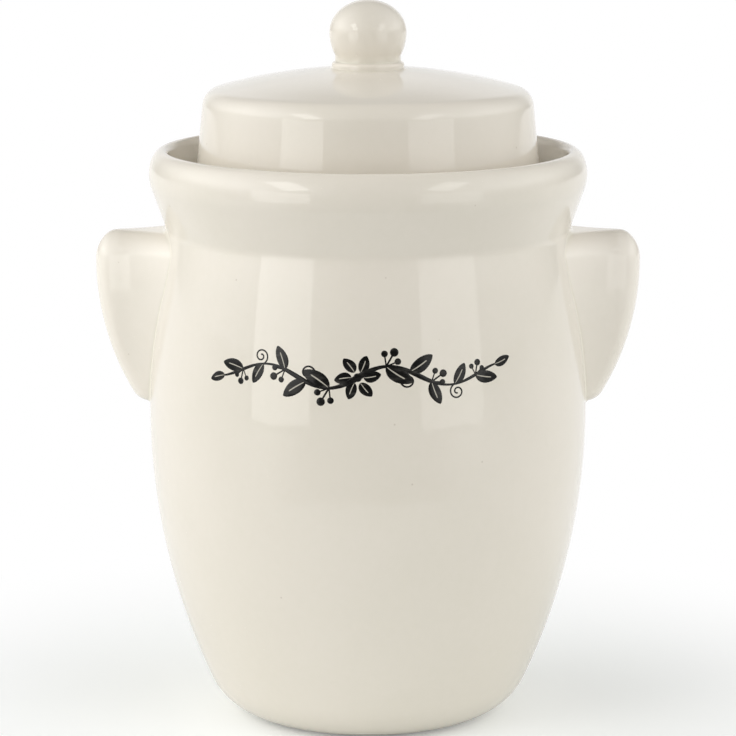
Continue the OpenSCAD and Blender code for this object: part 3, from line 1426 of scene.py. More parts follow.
    def build(self, finishes: Finishes) -> None:
        """Builds and dresses the handle.

        Args:
            finishes: Its glaze.
        """
        line = self.wall_line()
        middle = np.array([self.middle_r, 0.0, self.top_z - self.height * self.middle_share])
        turns = np.linspace(0, 2 * math.pi, self.rays, endpoint=False)
        paths = np.array([self.rolled(line, middle, turn) for turn in turns])
        rings = paths.transpose(1, 0, 2)
        front = self.surface_path(middle, 0.0)[0]
        back = np.array([self.crock.neck_r, 0.0, middle[2]])
        mirror = np.array([self.side.value, 1, 1])
        node = self.side.name.lower() + "_handle"
        sharp = [len(rings) - 2]
        piece = skin("glazed_" + node, rings * mirror, front * mirror, back * mirror, sharp)
        settle(piece, Body.CROCK, finishes, (node,))


@dataclass
class Lid:
    """The deep lid with its ball knob.

    Attributes:
        foot_r: Outer radius of its bottom edge.
        foot_z: Height of its bottom edge.
        top_r: Outer radius to which it tapers at the height of the dome.
        dome_z: Height of the dome.
        dome_r: Radius of the dome.
        thickness: Thickness of the lid.
        edge_r: Radius of the rounded edge round its top.
        inner_edge_r: Radius of the same edge inside.
        ball_r: Largest radius of the knob.
        ball_top_h: Height of the ball above its widest line.
        ball_low_h: Height of the ellipse that shapes the ball below that line.
        ball_up: Height of that line above the dome.
        neck_r: Radius of the knob's neck.
        bead_r: Radius of the bead round its foot.
        bead_end: Angle round the bead at which the neck takes over, in degrees.
        bead_fillet_r: Radius of the hollow between bead and dome.
        bead_toe: How far the hidden foot of the knob stands out beyond the bead.
        neck_fillet_r: Radius of the hollow between bead and neck.
        knob_sink: How far the knob's foot is sunk into the dome.
        knob_count: Number of points round the knob.
        bare_h: Height of the unglazed ring on the bottom edge.
    """

    foot_r: float = 81.5 * MM
    foot_z: float = 226.8 * MM
    top_r: float = 74 * MM
    dome_z: float = 300.5 * MM
    dome_r: float = 260 * MM
    thickness: float = 6 * MM
    edge_r: float = 8.5 * MM
    inner_edge_r: float = 5 * MM
    ball_r: float = 17.6 * MM
    ball_top_h: float = 14.8 * MM
    ball_low_h: float = 20 * MM
    ball_up: float = 15.9 * MM
    neck_r: float = 15 * MM
    bead_r: float = 1.6 * MM
    bead_end: float = 72.0
    bead_fillet_r: float = 0.6 * MM
    bead_toe: float = 1.2 * MM
    neck_fillet_r: float = 0.8 * MM
    knob_sink: float = 0.5 * MM
    knob_count: int = 160
    bare_h: float = 0.9 * MM

    @property
    def dome_centre(self) -> Point:
        """Centre of the dome's curve."""
        return 0.0, self.dome_z - self.dome_r

    @property
    def lean(self) -> float:
        """Angle of the wall's outward direction above level, in degrees."""
        return angle_to((0.0, 0.0), (self.dome_z - self.foot_z, self.foot_r - self.top_r))

    def edge_centre(self, foot_r: float, radius: float, dome_r: float) -> Point:
        """Centre of the rounded edge between the wall and the dome.

        Args:
            foot_r: Radius of the wall at the foot.
            radius: Radius of the edge.
            dome_r: Radius of the dome on that side of the lid.

        Returns:
            The centre.
        """
        turn = math.radians(self.lean)
        along = np.array([-math.sin(turn), math.cos(turn)])
        gap = np.array([foot_r - radius / math.cos(turn), self.foot_z]) - self.dome_centre
        ahead = gap @ along
        run = math.sqrt(ahead**2 - gap @ gap + (dome_r - radius) ** 2) - ahead
        return tuple(np.add(self.dome_centre, gap + run * along))

    def shell_outline(self) -> Outline:
        """Half section of the shell, from the middle of its underside out and up to the top.

        Returns:
            The outline.
        """
        turn = math.radians(self.lean)
        inner_foot_r = self.foot_r - self.thickness / math.cos(turn)
        inner_c = self.edge_centre(inner_foot_r, self.inner_edge_r, self.dome_r - self.thickness)
        outer_c = self.edge_centre(self.foot_r, self.edge_r, self.dome_r)
        inner_turn = angle_to(self.dome_centre, inner_c)
        outer_turn = angle_to(self.dome_centre, outer_c)
        half = self.thickness / 2
        foot_c = self.foot_r - half / math.cos(turn) - half * math.tan(turn), self.foot_z + half
        made = Outline()
        made.arc(self.dome_centre, self.dome_r - self.thickness, 90, inner_turn)
        made.arc(inner_c, self.inner_edge_r, inner_turn, self.lean)
        inner_low = polar(foot_c, half, self.lean + 180)
        steps = math.ceil(math.dist(made.points[-1], inner_low) / made.STEP)
        made.straight(inner_low, steps)
        made.arc(foot_c, half, self.lean - 180, self.lean)
        made.straight(polar(outer_c, self.edge_r, self.lean), steps)
        made.arc(outer_c, self.edge_r, self.lean, outer_turn)
        return made.arc(self.dome_centre, self.dome_r, outer_turn, 90)

    def knob_outline(self) -> Outline:
        """Half section of the knob, from the middle of its hidden foot up to its top.

        Returns:
            The outline.
        """
        bead_out = self.neck_r + self.bead_r
        dome_at = math.sqrt(self.dome_r**2 - bead_out**2) + self.dome_centre[1]
        centre = 0.0, self.dome_z + self.ball_up
        neck_turn = -math.degrees(math.acos(self.neck_r / self.ball_r))
        neck_top = centre[1] + self.ball_low_h * math.sin(math.radians(neck_turn))
        bead_mid, bead_top = dome_at + self.bead_r, dome_at + 2 * self.bead_r
        toe = bead_out + self.bead_toe
        sunk = dome_at - self.knob_sink
        made = Outline([(0.0, sunk)])
        made.to((toe, sunk), (toe, dome_at), corner=True)
        made.bend((bead_out, dome_at), (bead_out, bead_mid), self.bead_fillet_r)
        made.arc((self.neck_r, bead_mid), self.bead_r, 0, self.bead_end)
        made.bend((self.neck_r, bead_top), (self.neck_r, neck_top), self.neck_fillet_r)
        made.oval(centre, (self.ball_r, self.ball_low_h), neck_turn, 0)
        return made.oval(centre, (self.ball_r, self.ball_top_h), 0, 90)

    def build(self, finishes: Finishes) -> None:
        """Builds and dresses the shell and the knob.

        Args:
            finishes: The glaze and the bare clay.
        """
        shell = turned("glazed_lid", self.shell_outline())
        bare_z = self.foot_z + self.bare_h
        repaint(shell, 1, lambda at: at[:, 2] < bare_z)
        knob = turned("glazed_knob", self.knob_outline(), count=self.knob_count)
        settle(shell, Body.LID, finishes, ("lid_shell",))
        settle(knob, Body.LID, finishes[:1], ("lid_knob",))


@dataclass
class InkSprig:
    """A sprig of leaves, berries and tendrils round a blossom, brushed on the crock's front.

    Both halves are the same sprig, turned half round, so that the stem runs through as one wave.

    Attributes:
        half_w: Length of one half of the sprig, along the wall.
        wave_h: Height of the stem's wave.
        waves: Number of waves in one half.
        wave_fade: Share of the wave's height that is lost at the tip.
        stem_r: Radius of the stem at the blossom.
        tip_r: Radius of the stem at its tip.
        stem_swell: Share by which the brush stroke of the stem swells and thins.
        stem_steps: Number of points along the stem.
        bare_share: Share of the stem without leaves, next to the blossom.
        leaf_l: Length of the largest leaf.
        leaf_w: Width of the largest leaf.
        leaf_fullness: Power that rounds a leaf's outline, where 1 makes it an oval.
        leaf_lean: Power that moves a leaf's widest line towards its stalk.
        leaf_bend: How far a leaf's tip bends aside, as a share of its length.
        leaf_depth: Depth of a leaf, as a share of its width.
        rib_end: How far along a leaf its midrib ends.
        rib_fade: How far along it the midrib starts to fade.
        leaves: Number of leaves on one half.
        leaf_angle: Angle between leaf and stem, in degrees.
        leaf_shrink: Share by which each leaf is smaller than the one before.
        leaf_turn: Largest random turn of a leaf, in radians.
        leaf_growth: Growth of a leaf for each radian of that turn.
        berry_r: Radius of a berry.
        berries_each: Number of berries on one stem, in a fan.
        berry_fan: Angle from one berry to the next, in degrees.
        berry_shrink: Share by which the outer berries are smaller.
        berry_lean: Angle between the berries and the stem, in radians.
        stalk_l: Length of a berry's stalk.
        stalk_r: Radius of stalks and tendrils.
        stalk_steps: Number of points along a stalk.
        tendril_r: Radius of a tendril's curl.
        tendril_turns: Number of turns of the curl.
        tendril_eye: Radius at which the curl starts, as a share of tendril_r.
        tendril_steps: Number of points in each turn.
        tendril_lean: Angle between a tendril and the stem, in radians.
        petals: Number of petals of the blossom.
        petal_l: Length of a petal.
        petal_w: Width of a petal.
        petal_gap: Where a petal starts, as a share of the eye's radius.
        eye_r: Radius of the blossom's eye.
        ring_r: Radius of the crock at the sprig.
        middle_x: Place of the blossom along the wall, from the middle of the front.
        middle_z: Height of the blossom.
        relief: How much of its depth a stroke stands proud of the wall.
        reach: Distance from the axis at which the search for the wall starts.
        seed: Seed of the small differences between leaves.
        STROKE_SIDES: Number of sides of a stroke.
        LEAF_MESH: Segments and rings of a leaf.
        BALL_MESH: Segments and rings of a berry and of the eye.
        LEAST_R: Smallest radius that the outline of a leaf is divided by.
        RANDOM_RANGE: Places of least and greatest among the inputs of a Random Value node.
    """

    STROKE_SIDES: ClassVar[int] = 10
    LEAF_MESH: ClassVar[dict[str, int]] = {"Segments": 16, "Rings": 14}
    BALL_MESH: ClassVar[dict[str, int]] = {"Segments": 14, "Rings": 9}
    LEAST_R: ClassVar[float] = 0.001
    RANDOM_RANGE: ClassVar[tuple[int, int]] = (2, 3)

    half_w: float = 63 * MM
    wave_h: float = 5.2 * MM
    waves: float = 1.15
    wave_fade: float = 0.3
    stem_r: float = 1.15 * MM
    tip_r: float = 0.5 * MM
    stem_swell: float = 0.3
    stem_steps: int = 72
    bare_share: float = 0.2
    leaf_l: float = 13.0 * MM
    leaf_w: float = 6.6 * MM
    leaf_fullness: float = 0.45
    leaf_lean: float = 1.12
    leaf_bend: float = 0.16
    leaf_depth: float = 0.5
    rib_end: float = 0.95
    rib_fade: float = 0.75
    leaves: int = 6
    leaf_angle: float = 50.0
    leaf_shrink: float = 0.055
    leaf_turn: float = 0.12
    leaf_growth: float = 0.7
    berry_r: float = 1.9 * MM
    berries_each: int = 3
    berry_fan: float = 38.0
    berry_shrink: float = 0.22
    berry_lean: float = 0.95
    stalk_l: float = 7.0 * MM
    stalk_r: float = 0.45 * MM
    stalk_steps: int = 9
    tendril_r: float = 4.2 * MM
    tendril_turns: float = 1.5
    tendril_eye: float = 0.16
    tendril_steps: int = 26
    tendril_lean: float = 1.35
    petals: int = 6
    petal_l: float = 7.6 * MM
    petal_w: float = 5.0 * MM
    petal_gap: float = 1.35
    eye_r: float = 1.9 * MM
    ring_r: float = 99.0 * MM
    middle_x: float = -4.5 * MM
    middle_z: float = 175.5 * MM
    relief: float = 0.09
    reach: float = 300 * MM
    seed: int = 7

    def inputs(self) -> dict[str, tuple]:
        """The tree's named inputs, each with its socket type and value.

        Returns:
            The inputs.
        """
        lengths = {
            "Half Width": self.half_w,
            "Wave Height": self.wave_h,
            "Waves": self.waves,
            "Stem Radius": self.stem_r,
            "Tip Radius": self.tip_r,
            "Leaf Length": self.leaf_l,
            "Leaf Width": self.leaf_w,
            "Leaf Angle": math.radians(self.leaf_angle),
            "Berry Radius": self.berry_r,
            "Stalk Length": self.stalk_l,
            "Stalk Radius": self.stalk_r,
            "Tendril Radius": self.tendril_r,
            "Petal Length": self.petal_l,
            "Petal Width": self.petal_w,
            "Eye Radius": self.eye_r,
            "Ring Radius": self.ring_r,
            "Middle X": self.middle_x,
            "Middle Height": self.middle_z,
            "Relief": self.relief,
        }
        counts = {"Leaves": self.leaves, "Petals": self.petals, "Seed": self.seed}
        made = {label: (FLOAT, value) for label, value in lengths.items()}
        made.update({label: ("NodeSocketInt", value) for label, value in counts.items()})
        made["Crock"] = ("NodeSocketObject", None)
        made["Ink"] = ("NodeSocketMaterial", None)
        return made

    def tube(self, tree: Tree, curve: Socket, radius: object) -> Socket:
        """Round stroke of a given radius along a curve, closed at its ends.

        Args:
            tree: The sprig's tree.
            curve: The curve.
            radius: Radius of the stroke.

        Returns:
            The stroke.
        """
        values = {"Resolution": self.STROKE_SIDES, "Radius": 1.0}
        profile = tree.add("GeometryNodeCurvePrimitiveCircle", values)
        values = {
            "Curve": curve,
            "Profile Curve": profile.outputs[0],
            "Scale": radius,
            "Fill Caps": True,
        }
        return tree.add("GeometryNodeCurveToMesh", values).outputs[0]

    @staticmethod
    def facing(tree: Tree, angle: Socket) -> Socket:
        """Rotation that turns something from +X to an angle in the plane of the wall."""
        return tree.combine(Y=tree.times(angle, -1.0))

    def ball(self, tree: Tree, radius: Socket) -> Socket:
        """A berry or an eye: a ball with few faces."""
        values = {**self.BALL_MESH, "Radius": radius}
        return tree.add("GeometryNodeMeshUVSphere", values).outputs[0]

    @staticmethod
    def moved(tree: Tree, geometry: Socket, values: dict) -> Socket:
        """Geometry that is moved or turned as a whole."""
        return tree.add("GeometryNodeTransform", {"Geometry": geometry, **values}).outputs[0]

    @staticmethod
    def same_place(tree: Tree, count: object) -> Socket:
        """Points that all lie at the origin, one for each thing in a fan or a ring."""
        values = {"Count": count, "Offset": (0.0, 0.0, 0.0)}
        return tree.add("GeometryNodeMeshLine", values).outputs[0]

    def leaf(self, tree: Tree, length: Socket, width: Socket) -> Socket:
        """A pointed, slightly bent leaf along +X, with its midrib stored as the ridge.

        Args:
            tree: The sprig's tree.
            length: Length of the leaf.
            width: Its greatest width.

        Returns:
            The leaf.
        """
        ball = tree.add("GeometryNodeMeshUVSphere", {**self.LEAF_MESH, "Radius": 1.0})
        at = tree.add("GeometryNodeInputPosition").outputs[0]
        x, y, z = tree.parts(at)
        run = tree.line(z, 0.5, 0.5)
        round_r = tree.math("SQRT", tree.math("SUBTRACT", 1.0, tree.times(z, z)))
        round_r = tree.math("MAXIMUM", round_r, self.LEAST_R)
        across = tree.math("DIVIDE", tree.math("ABSOLUTE", x), round_r)
        ridge = tree.math("SUBTRACT", 1.0, across)
        ridge = tree.times(ridge, tree.ease(run, self.rib_end, self.rib_fade))
        kept = tree.add(
            "GeometryNodeStoreNamedAttribute",
            {"Geometry": ball.outputs[0], "Name": "ridge", "Value": ridge},
            data_type="FLOAT",
            domain="POINT",
        )
        narrow = tree.times(tree.math("POWER", round_r, self.leaf_fullness), 0.5)
        half = tree.times(narrow, width)
        aside = tree.times(length, self.leaf_bend)
        bend = tree.times(tree.times(run, run), aside)
        sent = tree.combine(
            X=tree.times(tree.math("POWER", run, self.leaf_lean), length),
            Y=tree.times(tree.times(y, half), self.leaf_depth),
            Z=tree.line(x, half, bend),
        )
        values = {"Geometry": kept.outputs[0], "Position": sent}
        return tree.add("GeometryNodeSetPosition", values).outputs[0]

    def berries(self, tree: Tree, given: Inputs) -> Socket:
        """Berries on stalks that fan out from one point.

        Args:
            tree: The sprig's tree.
            given: The tree's inputs by name.

        Returns:
            The berries.
        """
        end = tree.combine(X=given["Stalk Length"])
        line = tree.add("GeometryNodeCurvePrimitiveLine", {"End": end}).outputs[0]
        values = {"Curve": line, "Count": self.stalk_steps}
        line = tree.add("GeometryNodeResampleCurve", values).outputs[0]
        stalk = self.tube(tree, line, given["Stalk Radius"])
        berry = self.moved(tree, self.ball(tree, given["Berry Radius"]), {"Translation": end})
        index = tree.add("GeometryNodeInputIndex").outputs[0]
        step = tree.math("SUBTRACT", index, (self.berries_each - 1) / 2)
        turn = tree.times(step, math.radians(self.berry_fan))
        size = tree.line(tree.math("ABSOLUTE", step), -self.berry_shrink, 1.0)
        values = {
            "Points": self.same_place(tree, self.berries_each),
            "Instance": self.joined(tree, stalk, berry),
            "Rotation": self.facing(tree, turn),
            "Scale": size,
        }
        return tree.add("GeometryNodeInstanceOnPoints", values).outputs[0]

    def tendril(self, tree: Tree, given: Inputs) -> Socket:
        """A curl that leaves the stem at the origin.

        Args:
            tree: The sprig's tree.
            given: The tree's inputs by name.

        Returns:
            The curl.
        """
        spiral = tree.add(
            "GeometryNodeCurveSpiral",
            {
                "Resolution": self.tendril_steps,
                "Rotations": self.tendril_turns,
                "Start Radius": tree.times(given["Tendril Radius"], self.tendril_eye),
                "End Radius": given["Tendril Radius"],
                "Height": 0.0,
            },
        )
        shift = tree.combine(X=given["Tendril Radius"])
        curl = self.moved(tree, spiral.outputs[0], {"Translation": shift})
        curl = self.moved(tree, curl, {"Rotation": (math.pi / 2, 0.0, 0.0)})
        return self.tube(tree, curl, given["Stalk Radius"])

    @staticmethod
    def joined(tree: Tree, *parts: Socket) -> Socket:
        """Several geometries as one."""
        node = tree.add("GeometryNodeJoinGeometry")
        for part in parts:
            tree.tree.links.new(part, node.inputs[0])
        return node.outputs[0]

    def blossom(self, tree: Tree, given: Inputs) -> Socket:
        """The blossom in the middle: petals round an eye.

        Args:
            tree: The sprig's tree.
            given: The tree's inputs by name.

        Returns:
            The blossom.
        """
        petal = self.leaf(tree, given["Petal Length"], given["Petal Width"])
        out = tree.combine(X=tree.times(given["Eye Radius"], self.petal_gap))
        index = tree.add("GeometryNodeInputIndex").outputs[0]
        turn = tree.times(tree.math("DIVIDE", index, given["Petals"]), math.tau)
        values = {
            "Points": self.same_place(tree, given["Petals"]),
            "Instance": self.moved(tree, petal, {"Translation": out}),
            "Rotation": self.facing(tree, turn),
        }
        ring = tree.add("GeometryNodeInstanceOnPoints", values).outputs[0]
        return self.joined(tree, ring, self.ball(tree, given["Eye Radius"]))

    def stem(self, tree: Tree, given: Inputs) -> tuple[Socket, Socket]:
        """The stem of one half, along +X.

        Args:
            tree: The sprig's tree.
            given: The tree's inputs by name.

        Returns:
            The stem's curve and its stroke.
        """
        line = tree.add("GeometryNodeCurvePrimitiveLine", {"End": (1.0, 0.0, 0.0)}).outputs[0]
        values = {"Curve": line, "Count": self.stem_steps}
        line = tree.add("GeometryNodeResampleCurve", values).outputs[0]
        share = tree.add("GeometryNodeSplineParameter").outputs["Factor"]
        turn = tree.times(tree.times(share, given["Waves"]), math.tau)
        height = tree.times(tree.math("SINE", turn), given["Wave Height"])
        kept = tree.line(share, -self.wave_fade, 1.0)
        place = tree.combine(X=tree.times(share, given["Half Width"]), Z=tree.times(height, kept))
        values = {"Geometry": line, "Position": place}
        curve = tree.add("GeometryNodeSetPosition", values).outputs[0]
        slim = tree.math("SUBTRACT", given["Tip Radius"], given["Stem Radius"])
        radius = tree.line(share, slim, given["Stem Radius"])
        swell = tree.math("COSINE", tree.times(turn, 2.0))
        swell = tree.line(swell, self.stem_swell, 1.0)
        return curve, self.tube(tree, curve, tree.times(radius, swell))

    def half_sprig(self, tree: Tree, given: Inputs) -> Socket:
        """The half that grows along +X: stem, leaves, berries and tendrils.

        The leaves stand on alternate sides. Opposite to them grow berries and tendrils by turns,
        and the last leaf ends the stem.

        Args:
            tree: The sprig's tree.
            given: The tree's inputs by name.

        Returns:
            The half, with its leaves, berries and tendrils as instances.
        """
        curve, stroke = self.stem(tree, given)
        values = {"Curve": curve, "Start": self.bare_share, "End": 1.0}
        part = tree.add("GeometryNodeTrimCurve", values).outputs[0]
        values = {"Curve": part, "Count": given["Leaves"]}
        points = tree.add("GeometryNodeCurveToPoints", values)
        tangent = tree.parts(points.outputs["Tangent"])
        along = tree.math("ARCTAN2", tangent["Z"], tangent["X"])
        index = tree.add("GeometryNodeInputIndex").outputs[0]
        side = tree.line(tree.math("MODULO", index, 2.0), 2.0, -1.0)
        growing = tree.math("LESS_THAN", index, tree.math("SUBTRACT", given["Leaves"], 1.0))
        spread = tree.times(side, given["Leaf Angle"])
        spread = tree.times(spread, growing)
        least, greatest = self.RANDOM_RANGE
        values = {least: -self.leaf_turn, greatest: self.leaf_turn, "Seed": given["Seed"]}
        random = tree.add("FunctionNodeRandomValue", values, data_type="FLOAT")
        jitter = random.outputs[1]
        shrink = tree.line(index, -self.leaf_shrink, 1.0)
        toward = tree.plus(tree.plus(along, spread), jitter)
        values = {
            "Points": points.outputs[0],
            "Instance": self.leaf(tree, given["Leaf Length"], given["Leaf Width"]),
            "Rotation": self.facing(tree, toward),
            "Scale": tree.line(jitter, self.leaf_growth, shrink),
        }
        parts = [stroke, tree.add("GeometryNodeInstanceOnPoints", values).outputs[0]]
        below = tree.math("LESS_THAN", side, 0.0)
        for extra, chosen, lean in (
            (self.berries(tree, given), below, self.berry_lean),
            (self.tendril(tree, given), tree.math("SUBTRACT", 1.0, below), self.tendril_lean),
        ):
            away = tree.times(side, -lean)
            values = {
                "Points": points.outputs[0],
                "Selection": tree.times(chosen, growing),
                "Instance": extra,
                "Rotation": self.facing(tree, tree.plus(along, away)),
                "Scale": shrink,
            }
            parts.append(tree.add("GeometryNodeInstanceOnPoints", values).outputs[0])
        return self.joined(tree, *parts)

    def wrapped(self, tree: Tree, given: Inputs, flat: Socket) -> Socket:
        """Lays flat strokes on the crock's wall, with a little of their depth standing proud.

        Args:
            tree: The sprig's tree.
            given: The tree's inputs by name.
            flat: Strokes in the plane of X and Z, with their depth along Y.

        Returns:
            The strokes on the wall.
        """
        at = tree.add("GeometryNodeInputPosition").outputs[0]
        x, y, z = tree.parts(at)
        turn = tree.math("DIVIDE", tree.plus(x, given["Middle X"]), given["Ring Radius"])
        front = tree.times(tree.math("COSINE", turn), -1.0)
        out = tree.combine(X=tree.math("SINE", turn), Y=front)
        level = tree.combine(Z=tree.plus(z, given["Middle Height"]))
        crock = tree.add("GeometryNodeObjectInfo", {"Object": given["Crock"]})
        start = tree.vector("ADD", self.scaled(tree, out, self.reach), level).outputs[0]
        values = {
            "Target Geometry": crock.outputs["Geometry"],
            "Source Position": start,
            "Ray Direction": self.scaled(tree, out, -1.0),
            "Ray Length": self.reach,
        }
        ray = tree.add("GeometryNodeRaycast", values)
        depth = tree.times(tree.times(y, given["Relief"]), -1.0)
        proud = self.scaled(tree, ray.outputs["Hit Normal"], depth)
        place = tree.vector("ADD", ray.outputs["Hit Position"], proud).outputs[0]
        values = {"Geometry": flat, "Position": place}
        return tree.add("GeometryNodeSetPosition", values).outputs[0]

    @staticmethod
    def scaled(tree: Tree, vector: Socket, share: object) -> Socket:
        """A vector times a number."""
        values = {0: vector, "Scale": share}
        return tree.add("ShaderNodeVectorMath", values, operation="SCALE").outputs[0]

    def tree(self) -> bpy.types.NodeTree:
        """Builds the node tree that draws the sprig.

        Returns:
            The node tree.
        """
        made = open_group("ink_sprig", "GeometryNodeTree", self.inputs(), {"Geometry": GEOMETRY})
        given = {o.name: o for o in made.add("NodeGroupInput").outputs if o.name}
        half = self.half_sprig(made, given)
        other = self.moved(made, half, {"Rotation": (0.0, math.pi, 0.0)})
        drawn = self.joined(made, half, other, self.blossom(made, given))
        drawn = made.add("GeometryNodeRealizeInstances", {"Geometry": drawn}).outputs[0]
        drawn = self.wrapped(made, given, drawn)
        drawn = made.add("GeometryNodeSetShadeSmooth", {"Geometry": drawn}).outputs[0]
        values = {"Geometry": drawn, "Material": given["Ink"]}
        drawn = made.add("GeometryNodeSetMaterial", values).outputs[0]
        made.add("NodeGroupOutput", {"Geometry": drawn})
        return made.tree

    def build(self, crock: bpy.types.Object, ink: bpy.types.Material) -> None:
        """Draws the sprig on the crock.

        Args:
            crock: The crock's piece.
            ink: The ink.
        """
        base = placed("sprig_base", bpy.data.meshes.new("sprig_base"))
        tree = self.tree()
        drawing = base.modifiers.new("sprig", "NODES")
        drawing.node_group = tree
        for socket in tree.interface.items_tree:
            if socket.in_out == "INPUT":
                value = {"Crock": crock, "Ink": ink}.get(socket.name)
                drawing[socket.identifier] = socket.default_value if value is None else value
        ready = bpy.context.evaluated_depsgraph_get()
        mesh = bpy.data.meshes.new_from_object(base.evaluated_get(ready), depsgraph=ready)
        bpy.data.objects.remove(base)
        settle(placed("ink_sprig", mesh), Body.CROCK, [])


# Studio


@dataclass(frozen=True)
class Softbox:
    """A rectangular lamp that faces the pot.

    Attributes:
        name: Name of the lamp.
        azimuth: Direction from the pot in degrees, 0 in front and positive to the left.
        height: Height of its middle.
        distance: Distance of its middle from the pot's axis.
        width: Width of the lamp.
        length: Length of the lamp, from its lower to its upper edge.
        tilt: How far it looks down, in degrees.
        level: Brightness of its face, where 1 is white.
        roll: How far its top leans to the left as seen from the pot, in degrees.
        colour: Colour of its light.
    """

    name: str
    azimuth: float
    height: float
    distance: float
    width: float
    length: float
    tilt: float
    level: float
    roll: float = 0.0
    colour: Colour = (1.0, 0.99, 0.97)

    def light(self) -> None:
        """Adds the lamp."""
        lamp = bpy.data.lights.new(self.name, "AREA")
        lamp.shape = "RECTANGLE"
        lamp.size = self.width
        lamp.size_y = self.length
        lamp.color = self.colour
        lamp.energy = self.level * math.pi * self.width * self.length
        obj = placed(self.name, lamp)
        turn = math.radians(self.azimuth)
        aside, ahead = self.distance * math.sin(turn), self.distance * math.cos(turn)
        obj.location = (-aside, -ahead, self.height)
        faced = Euler((math.radians(90 - self.tilt), 0.0, -turn)).to_matrix()
        rolled = faced @ Matrix.Rotation(math.radians(self.roll), 3, "Z")
        obj.rotation_euler = rolled.to_euler()
        obj.visible_camera = False
        log.info("%s lights the pot from %.0f degrees", self.name, self.azimuth)


@dataclass(frozen=True)
class Surround:
    """Brightness of the walls and the ceiling round the pot, in six directions.

    Attributes:
        left: Level on the left, where 1 is white.
        right: Level on the right.
        front: Level behind the camera.
        back: Level behind the pot.
        top: Level above.
        bottom: Level below the floor's rim.
        rear: Share of that light which is left behind the pot.
        rear_start: How far back the light starts to fade, from 0 at the sides to 1.
        rear_full: How far back only that share is left.
        horizon: Share of the light which is left at the horizon.
        horizon_top: Height at which all of it is back, from 0 at the horizon to 1.
        colour: Colour of the light from them.
    """

    left: float = 3.2
    right: float = 2.45
    front: float = 0.3
    back: float = 1.1
    top: float = 0.1
    bottom: float = 0.75
    rear: float = 0.4
    rear_start: float = 0.1
    rear_full: float = 0.8
    horizon: float = 0.4
    horizon_top: float = 0.3
    colour: Colour = (1.0, 1.0, 1.0)

    def level(self, tree: Tree, toward: Socket) -> Socket:
        """Level of the light that comes from a direction.

        Args:
            tree: The world's tree.
            toward: The direction.

        Returns:
            The level.
        """
        square = tree.vector("MULTIPLY", toward, toward).outputs[0]
        parts = tree.parts(toward)
        squares = tree.parts(square)
        total: Socket | float = 0.0
        pairs = (self.left, self.right), (self.front, self.back), (self.bottom, self.top)
        for part, share, (low, high) in zip(parts, squares, pairs):
            side = tree.math("GREATER_THAN", part, 0.0)
            chosen = tree.line(side, high - low, low)
            total = tree.line(chosen, share, total)
        behind = tree.ease(parts["Y"], self.rear_start, self.rear_full)
        total = tree.times(total, tree.line(behind, self.rear - 1, 1.0))
        above = tree.ease(parts["Z"], 0.0, self.horizon_top)
        share = tree.line(above, 1 - self.horizon, self.horizon)
        return tree.times(total, share)


# Each lower box makes one of the upright windows on the belly, each upper one a leaning streak
# on the collar and on the lid's edge.
LOWER = {"height": 0.215, "distance": 1.0, "length": 0.40, "tilt": 0.0}
UPPER = {"height": 0.82, "distance": 1.05, "width": 0.28, "length": 0.60, "tilt": 28.0}
SOFTBOXES = (
    Softbox("left_softbox", azimuth=44.0, width=0.54, level=1.58, **LOWER),
    Softbox("right_softbox", azimuth=-42.5, width=0.57, level=1.1, **LOWER),
    Softbox("upper_left_softbox", azimuth=44.0, level=2.7, roll=35.0, **UPPER),
    Softbox("upper_right_softbox", azimuth=-44.0, level=1.8, roll=-35.0, **UPPER),
)


